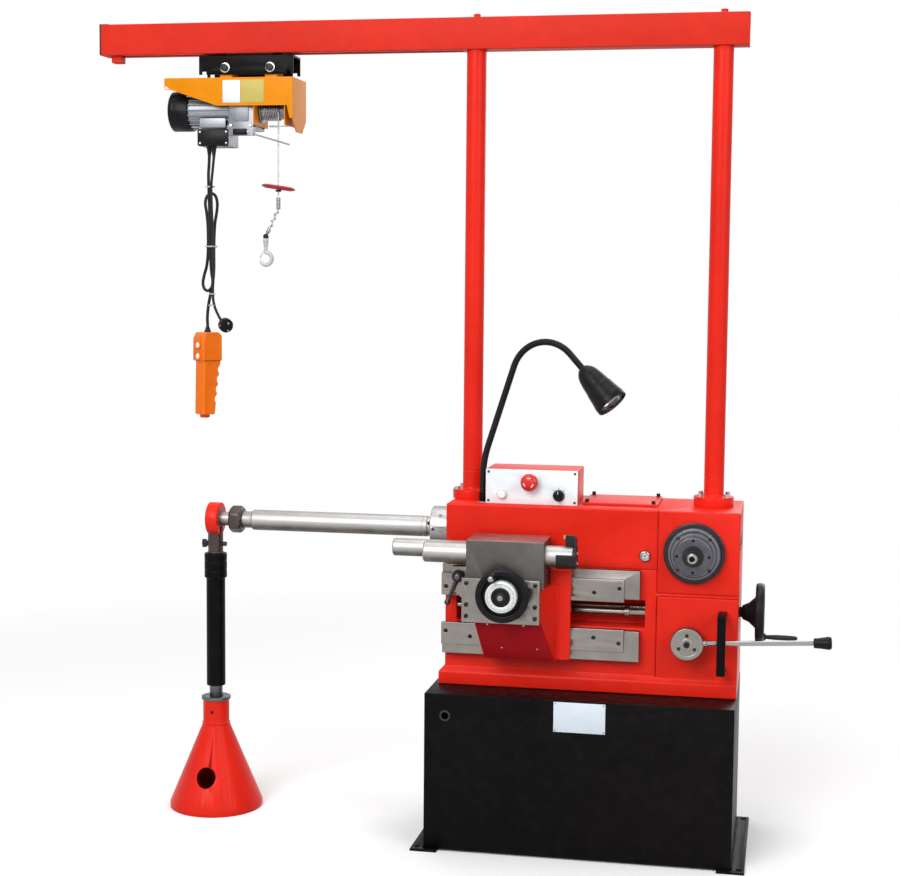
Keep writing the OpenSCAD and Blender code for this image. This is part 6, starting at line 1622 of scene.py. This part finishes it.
def evenly(points, step):
    """The same line with points a fixed distance apart."""
    out, left = [points[0]], step
    for a, b in zip(points, points[1:]):
        run = (b - a).length
        at = left
        while at <= run:
            out.append(a.lerp(b, at / run))
            at += step
        left = at - run
    return out + [points[-1]]


class LATHE_OT_lamp(bpy.types.Operator):
    """Makes the ribbed lamp arm, its foot and the lamp head."""

    bl_idname = "lathe.lamp"
    bl_label = "Lamp"

    def execute(self, context):
        there = lamp_place()
        arm, head, way = lamp_arm()
        head, way = there @ head, there.to_3x3() @ way
        s = Shape()
        s.solid(black_paint, [(0, 9.5), (2, 9.5), (16, 9.5), (18, 9.2), (24, 9.2), (26, 8.6)],
                LAMP_FOOT + Vector((0, 0, COLUMN_FOOT_Z)), UP, 40, 0.6)
        s.turned(zinc_steel, [(0, 9.6), (0, 15), (2.0, 15), (2.6, 13.6), (2.6, 9.6)],
                 LAMP_FOOT + Vector((0, 0, COLUMN_FOOT_Z)), UP, 40, 0.4, ring=True)
        # Ribs of the bendable arm, one for every strip turn
        line = [there @ p for p in evenly(arm, 1.1)]
        ribs = [1.0 if k % 4 in (1, 2) else 0.925 for k in range(len(line))]
        s.line(black_plastic, line, 17, sides=20, radii=ribs)
        s.place("lamp_gooseneck_ribs", "lamp", "black_paint", "lamp_gooseneck")
        s = Shape()
        outer = [(0, 0), (0, 11.5), (1.2, 13), (3, 14.6), (8, 19.2), (15, 23.6), (24, 26.8), (36, 29.4), (50, 31.6),
                 (64, 33.6), (65, 34.6), (66.4, 34.9), (84, 37.2), (98, 39.8), (104, 41), (116.5, 41), (118, 40.4),
                 (118, 39.2), (104, 39), (100, 38), (60, 23), (44, 16), (43, 0)]
        s.turned(black_plastic, outer, head, way, 72, 0.5)
        s.turned(chromed_steel, [(58.6, 21.4), (100.2, 36.9), (104.2, 38.1), (115.6, 38.4), (115.6, 38.9),
                 (104, 38.7), (99.6, 37.8), (58.2, 22.3)], head, way, 72, ring=True)
        s.solid(white_plastic, [(43, 11), (50, 12.4), (56, 17), (64, 21.4), (74, 21.8), (80, 19.4), (84.6, 13),
                (86, 6)], head, way, 48, 1.0)
        s.turned(black_plastic, [(112, 38.6), (112, 36.4), (114.4, 36.4), (114.4, 38.6)], head, way, 72, ring=True)
        s.place("lamp_head_shade", "lamp", "black_paint", "lamp_head")
        return {"FINISHED"}


class LATHE_OT_stand(bpy.types.Operator):
    """Makes the support ring, the stand tubes, the wing screw and the cone."""

    bl_idname = "lathe.stand"
    bl_label = "Support stand"

    def execute(self, context):
        x, y = STAND_X, SPINDLE_Y
        dress("support_ring", red_paint, "support_ring_casting", "stand", "red_paint", where=ring_faces, edge=2.2)
        s = Shape()
        # Bushes in the ring and a collar under it
        s.turned(stained_steel, [(-17.2, 18.7), (-17.2, 24.6), (-16.2, 25.4), (-15.6, 25.4), (-15.6, 18.7)],
                 (x, y, SPINDLE_Z), RIGHT, 64, 0.3, ring=True)
        s.turned(stained_steel, [(15.6, 18.7), (15.6, 25.4), (16.2, 25.4), (17.2, 24.6), (17.2, 18.7)],
                 (x, y, SPINDLE_Z), RIGHT, 64, 0.3, ring=True)
        s.turned(dark_steel_z, [(0, 20.2), (0, 21.6), (2.2, 21.6), (2.2, 20.2)], (x, y, 689), UP, 48, 0.3, ring=True)
        s.place("support_ring_bush", "stand", "red_paint")
        s = Shape()
        s.turned(black_paint, [(330, 17.7), (330, 24.2), (331.4, 25), (618, 25), (622, 26.4), (622.6, 29), (624, 30),
                 (641, 30), (641.8, 29.2), (644.2, 29.2), (645, 30), (665, 30), (665.8, 29.2), (668.2, 29.2),
                 (669, 30), (686, 30), (688, 28.4), (688, 0), (630, 0), (630, 17.7)], (x, y, 0), UP, 64, 0.6)
        s.place("stand_tube_sleeve", "stand", "black_paint", "stand_tube")
        s = Shape()
        s.solid(blackened_steel, [(-37, 4.8), (-36, 6), (-25, 6), (-24, 7.4), (-21.4, 7.4), (-20.6, 6), (29, 6),
                (30, 5)], (x, y, STAND_SCREW_Z), RIGHT, 32, 0.4)
        for side in (-1, 1):
            half = ((3.5, 0), (3.2, 8), (2.4, 11))
            wing = [(y - w, STAND_SCREW_Z + side * h) for w, h in half[:1]]
            wing += [(y + w, STAND_SCREW_Z + side * h) for w, h in half]
            wing += [(y - w, STAND_SCREW_Z + side * h) for w, h in half[:0:-1]]
            s.prism(blackened_steel, wing, "x", x - 37, x - 25, 1.2, 3)
        for k in range(9):
            s.turned(blackened_steel, [(0, 5.6), (0.5, 6.25), (1.0, 5.6)], (x + 21.5 + 0.95 * k, y, STAND_SCREW_Z),
                     RIGHT, 24)
        s.place("stand_wing_screw", "stand_screw", "blackened_steel", "stand_clamp_screw")
        s = Shape()
        s.solid(dark_steel_z, [(291.3, 17.5), (598.6, 17.5), (600, 16)], (x, y, 0), UP, 64, 0.6)
        s.place("stand_inner_tube_turned", "stand_foot", "bare_steel", "stand_inner_tube")
        dress("stand_cone", red_paint, "stand_cone_casting", "stand_foot", "red_paint", where=cone_faces, edge=1.8)
        s = Shape()
        # Weld bead where cone meets neck, and a thin set screw in the neck
        s.turned(red_paint, [(0, 33.6), (0.6, 36.4), (2.4, 37.4), (4.6, 37.2), (6.2, 35.2), (6.6, 33.6)], (x, y, 225),
                 UP, 64)
        s.cap_screw(blackened_steel, (x, y - 34.6, 262), FRONT, 9, 2.6, 4.6, 1.8)
        s.place("stand_cone_bead", "stand_foot", "red_paint")
        return {"FINISHED"}


ROOM_LIGHT = 0.42
# Name, place, aim, width in metres and power in watts
LAMPS = [
    ("Key light", (-1.7, -4.6, 3.7), (-0.3, 0, 1.0), 3.2, 232),
    ("Fill light", (3.6, -3.4, 2.8), (0.0, 0, 0.9), 3.0, 90),
    ("Top light", (-0.3, 0.4, 4.8), (-0.3, 0, 0.8), 3.0, 85),
    ("Back light", (1.5, 4.0, 2.6), (-0.2, 0, 1.0), 2.4, 40),
]


def seen_white(w, path):
    """1 for the rays that have to meet a white background, else 0."""
    first = w.math("MAXIMUM", path["Is Camera Ray"], path["Is Glossy Ray"])
    return w.math("MAXIMUM", first, path["Is Transmission Ray"])


# The photograph's camera: place in metres, turn, tilt and roll in radians, focal length in pixels of a picture
# that is 900 pixels wide
VIEW_FROM = (0.495913, -4.323900, 1.423055)
VIEW_TURN, VIEW_TILT, VIEW_ROLL = 0.19601958, 0.09197230, 0.00895897
FOCAL_PIXELS, PICTURE_WIDTH, SENSOR = 1726.71283, 900.0, 36.0


class LATHE_OT_stage(bpy.types.Operator):
    """Sets up the pale floor, the soft lights and the camera."""

    bl_idname = "lathe.stage"
    bl_label = "Stage"

    def execute(self, context):
        scene = context.scene
        scene.view_settings.view_transform = "Standard"
        forward = Vector((-sin(VIEW_TURN) * cos(VIEW_TILT), cos(VIEW_TURN) * cos(VIEW_TILT), -sin(VIEW_TILT)))
        right = Vector((cos(VIEW_TURN), sin(VIEW_TURN), 0))
        up = right.cross(forward)
        c, s = cos(VIEW_ROLL), sin(VIEW_ROLL)
        right, up = right * c + up * s, up * c - right * s
        camera = linked("Camera", bpy.data.cameras.new("Camera"))
        turn = Matrix((right, up, -forward)).transposed().to_4x4()
        camera.matrix_world = Matrix.Translation(VIEW_FROM) @ turn
        camera.data.sensor_fit = "HORIZONTAL"
        camera.data.sensor_width = SENSOR
        camera.data.lens = FOCAL_PIXELS / PICTURE_WIDTH * SENSOR
        camera.data.clip_end = 100
        scene.camera = camera

        bm = bmesh.new()
        bmesh.ops.create_grid(bm, x_segments=8, y_segments=8, size=20)
        mesh = bpy.data.meshes.new("Floor")
        bm.to_mesh(mesh)
        bm.free()
        floor = linked("Floor", mesh)
        mesh.materials.append(studio_floor())

        world = bpy.data.worlds.new("Studio")
        scene.world = world
        world.use_nodes = True
        world.node_tree.nodes.clear()
        w = Wires(world.node_tree)
        seen = seen_white(w, w.add("ShaderNodeLightPath").outputs)
        back = w.add("ShaderNodeBackground", {"Color": (1, 1, 1, 1), "Strength": w.spread(seen, 0, 1, ROOM_LIGHT,
                     1.0)})
        w.feed(back.outputs[0], w.add("ShaderNodeOutputWorld").inputs["Surface"])
        for name, place, aim, wide, power in LAMPS:
            lamp = bpy.data.lights.new(name, "AREA")
            lamp.shape = "SQUARE"
            lamp.size = wide
            lamp.energy = power
            holder = linked(name, lamp)
            holder.matrix_world = Matrix.Translation(place) @ (Vector(aim) - Vector(place)).to_track_quat("-Z",
                    "Y").to_matrix().to_4x4()
        return {"FINISHED"}


def studio_floor():
    """Pale floor that keeps the shadow near the lathe and runs out into the white background."""
    made = bpy.data.materials.new("Studio floor")
    made.use_nodes = True
    made.node_tree.nodes.clear()
    w = Wires(made.node_tree)
    place = w.add("ShaderNodeTexCoord").outputs["Object"]
    cloud = w.noise(place, 2.0, 3.0)
    path = w.add("ShaderNodeLightPath")
    pale = w.mix(cloud, (0.95, 0.95, 0.95, 1), (0.97, 0.97, 0.97, 1))
    skin = w.add("ShaderNodeBsdfDiffuse",
                 {"Color": w.mix(path.outputs["Is Diffuse Ray"], pale, (0.42, 0.42, 0.42, 1))})
    white = w.add("ShaderNodeEmission", {"Color": (1, 1, 1, 1), "Strength": 1.0})
    seen = seen_white(w, path.outputs)
    away = w.add("ShaderNodeVectorMath", {0: place, 1: (-0.3, 0.1, 0)}, operation="DISTANCE").outputs["Value"]
    share = w.math("MULTIPLY", w.spread(away, 1.5, 3.4), seen)
    both = w.add("ShaderNodeMixShader", {0: share, 1: skin.outputs[0], 2: white.outputs[0]})
    w.feed(both.outputs[0], w.add("ShaderNodeOutputMaterial").inputs["Surface"])
    return made


STEPS = (
    LATHE_OT_stage, LATHE_OT_cords, LATHE_OT_rope, LATHE_OT_cabinet, LATHE_OT_castings, LATHE_OT_ways,
    LATHE_OT_control_box,
    LATHE_OT_beam, LATHE_OT_hoist, LATHE_OT_handset, LATHE_OT_drum_spindle, LATHE_OT_disc_spindle, LATHE_OT_feed,
    LATHE_OT_saddle, LATHE_OT_front_wheel, LATHE_OT_tool_bars, LATHE_OT_lamp, LATHE_OT_stand,
)


class LATHE_PT_pieces(bpy.types.Panel):
    """Lists the steps that dress the lathe, and its colours and sizes."""

    bl_idname = "LATHE_PT_pieces"
    bl_label = "Brake drum lathe"
    bl_space_type = "VIEW_3D"
    bl_region_type = "UI"
    bl_category = "Lathe"

    def draw(self, context):
        for step in STEPS:
            self.layout.operator(step.bl_idname)
        for group in (context.scene.drum_lathe_sizes, context.scene.drum_lathe_colours):
            box = self.layout.box()
            for name in group.__annotations__:
                box.prop(group, name)


CLASSES = (DrumLatheColours, DrumLatheSizes) + STEPS + (LATHE_PT_pieces,)


def register():
    for item in CLASSES:
        bpy.utils.register_class(item)
    bpy.types.Scene.drum_lathe_colours = bpy.props.PointerProperty(type=DrumLatheColours)
    bpy.types.Scene.drum_lathe_sizes = bpy.props.PointerProperty(type=DrumLatheSizes)


def unregister():
    del bpy.types.Scene.drum_lathe_sizes
    del bpy.types.Scene.drum_lathe_colours
    for item in reversed(CLASSES):
        bpy.utils.unregister_class(item)


def main():
    """Registers the add-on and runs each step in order."""
    register()
    for step in STEPS:
        area, name = step.bl_idname.split(".")
        getattr(getattr(bpy.ops, area), name)()


if __name__ == "__main__":
    main()
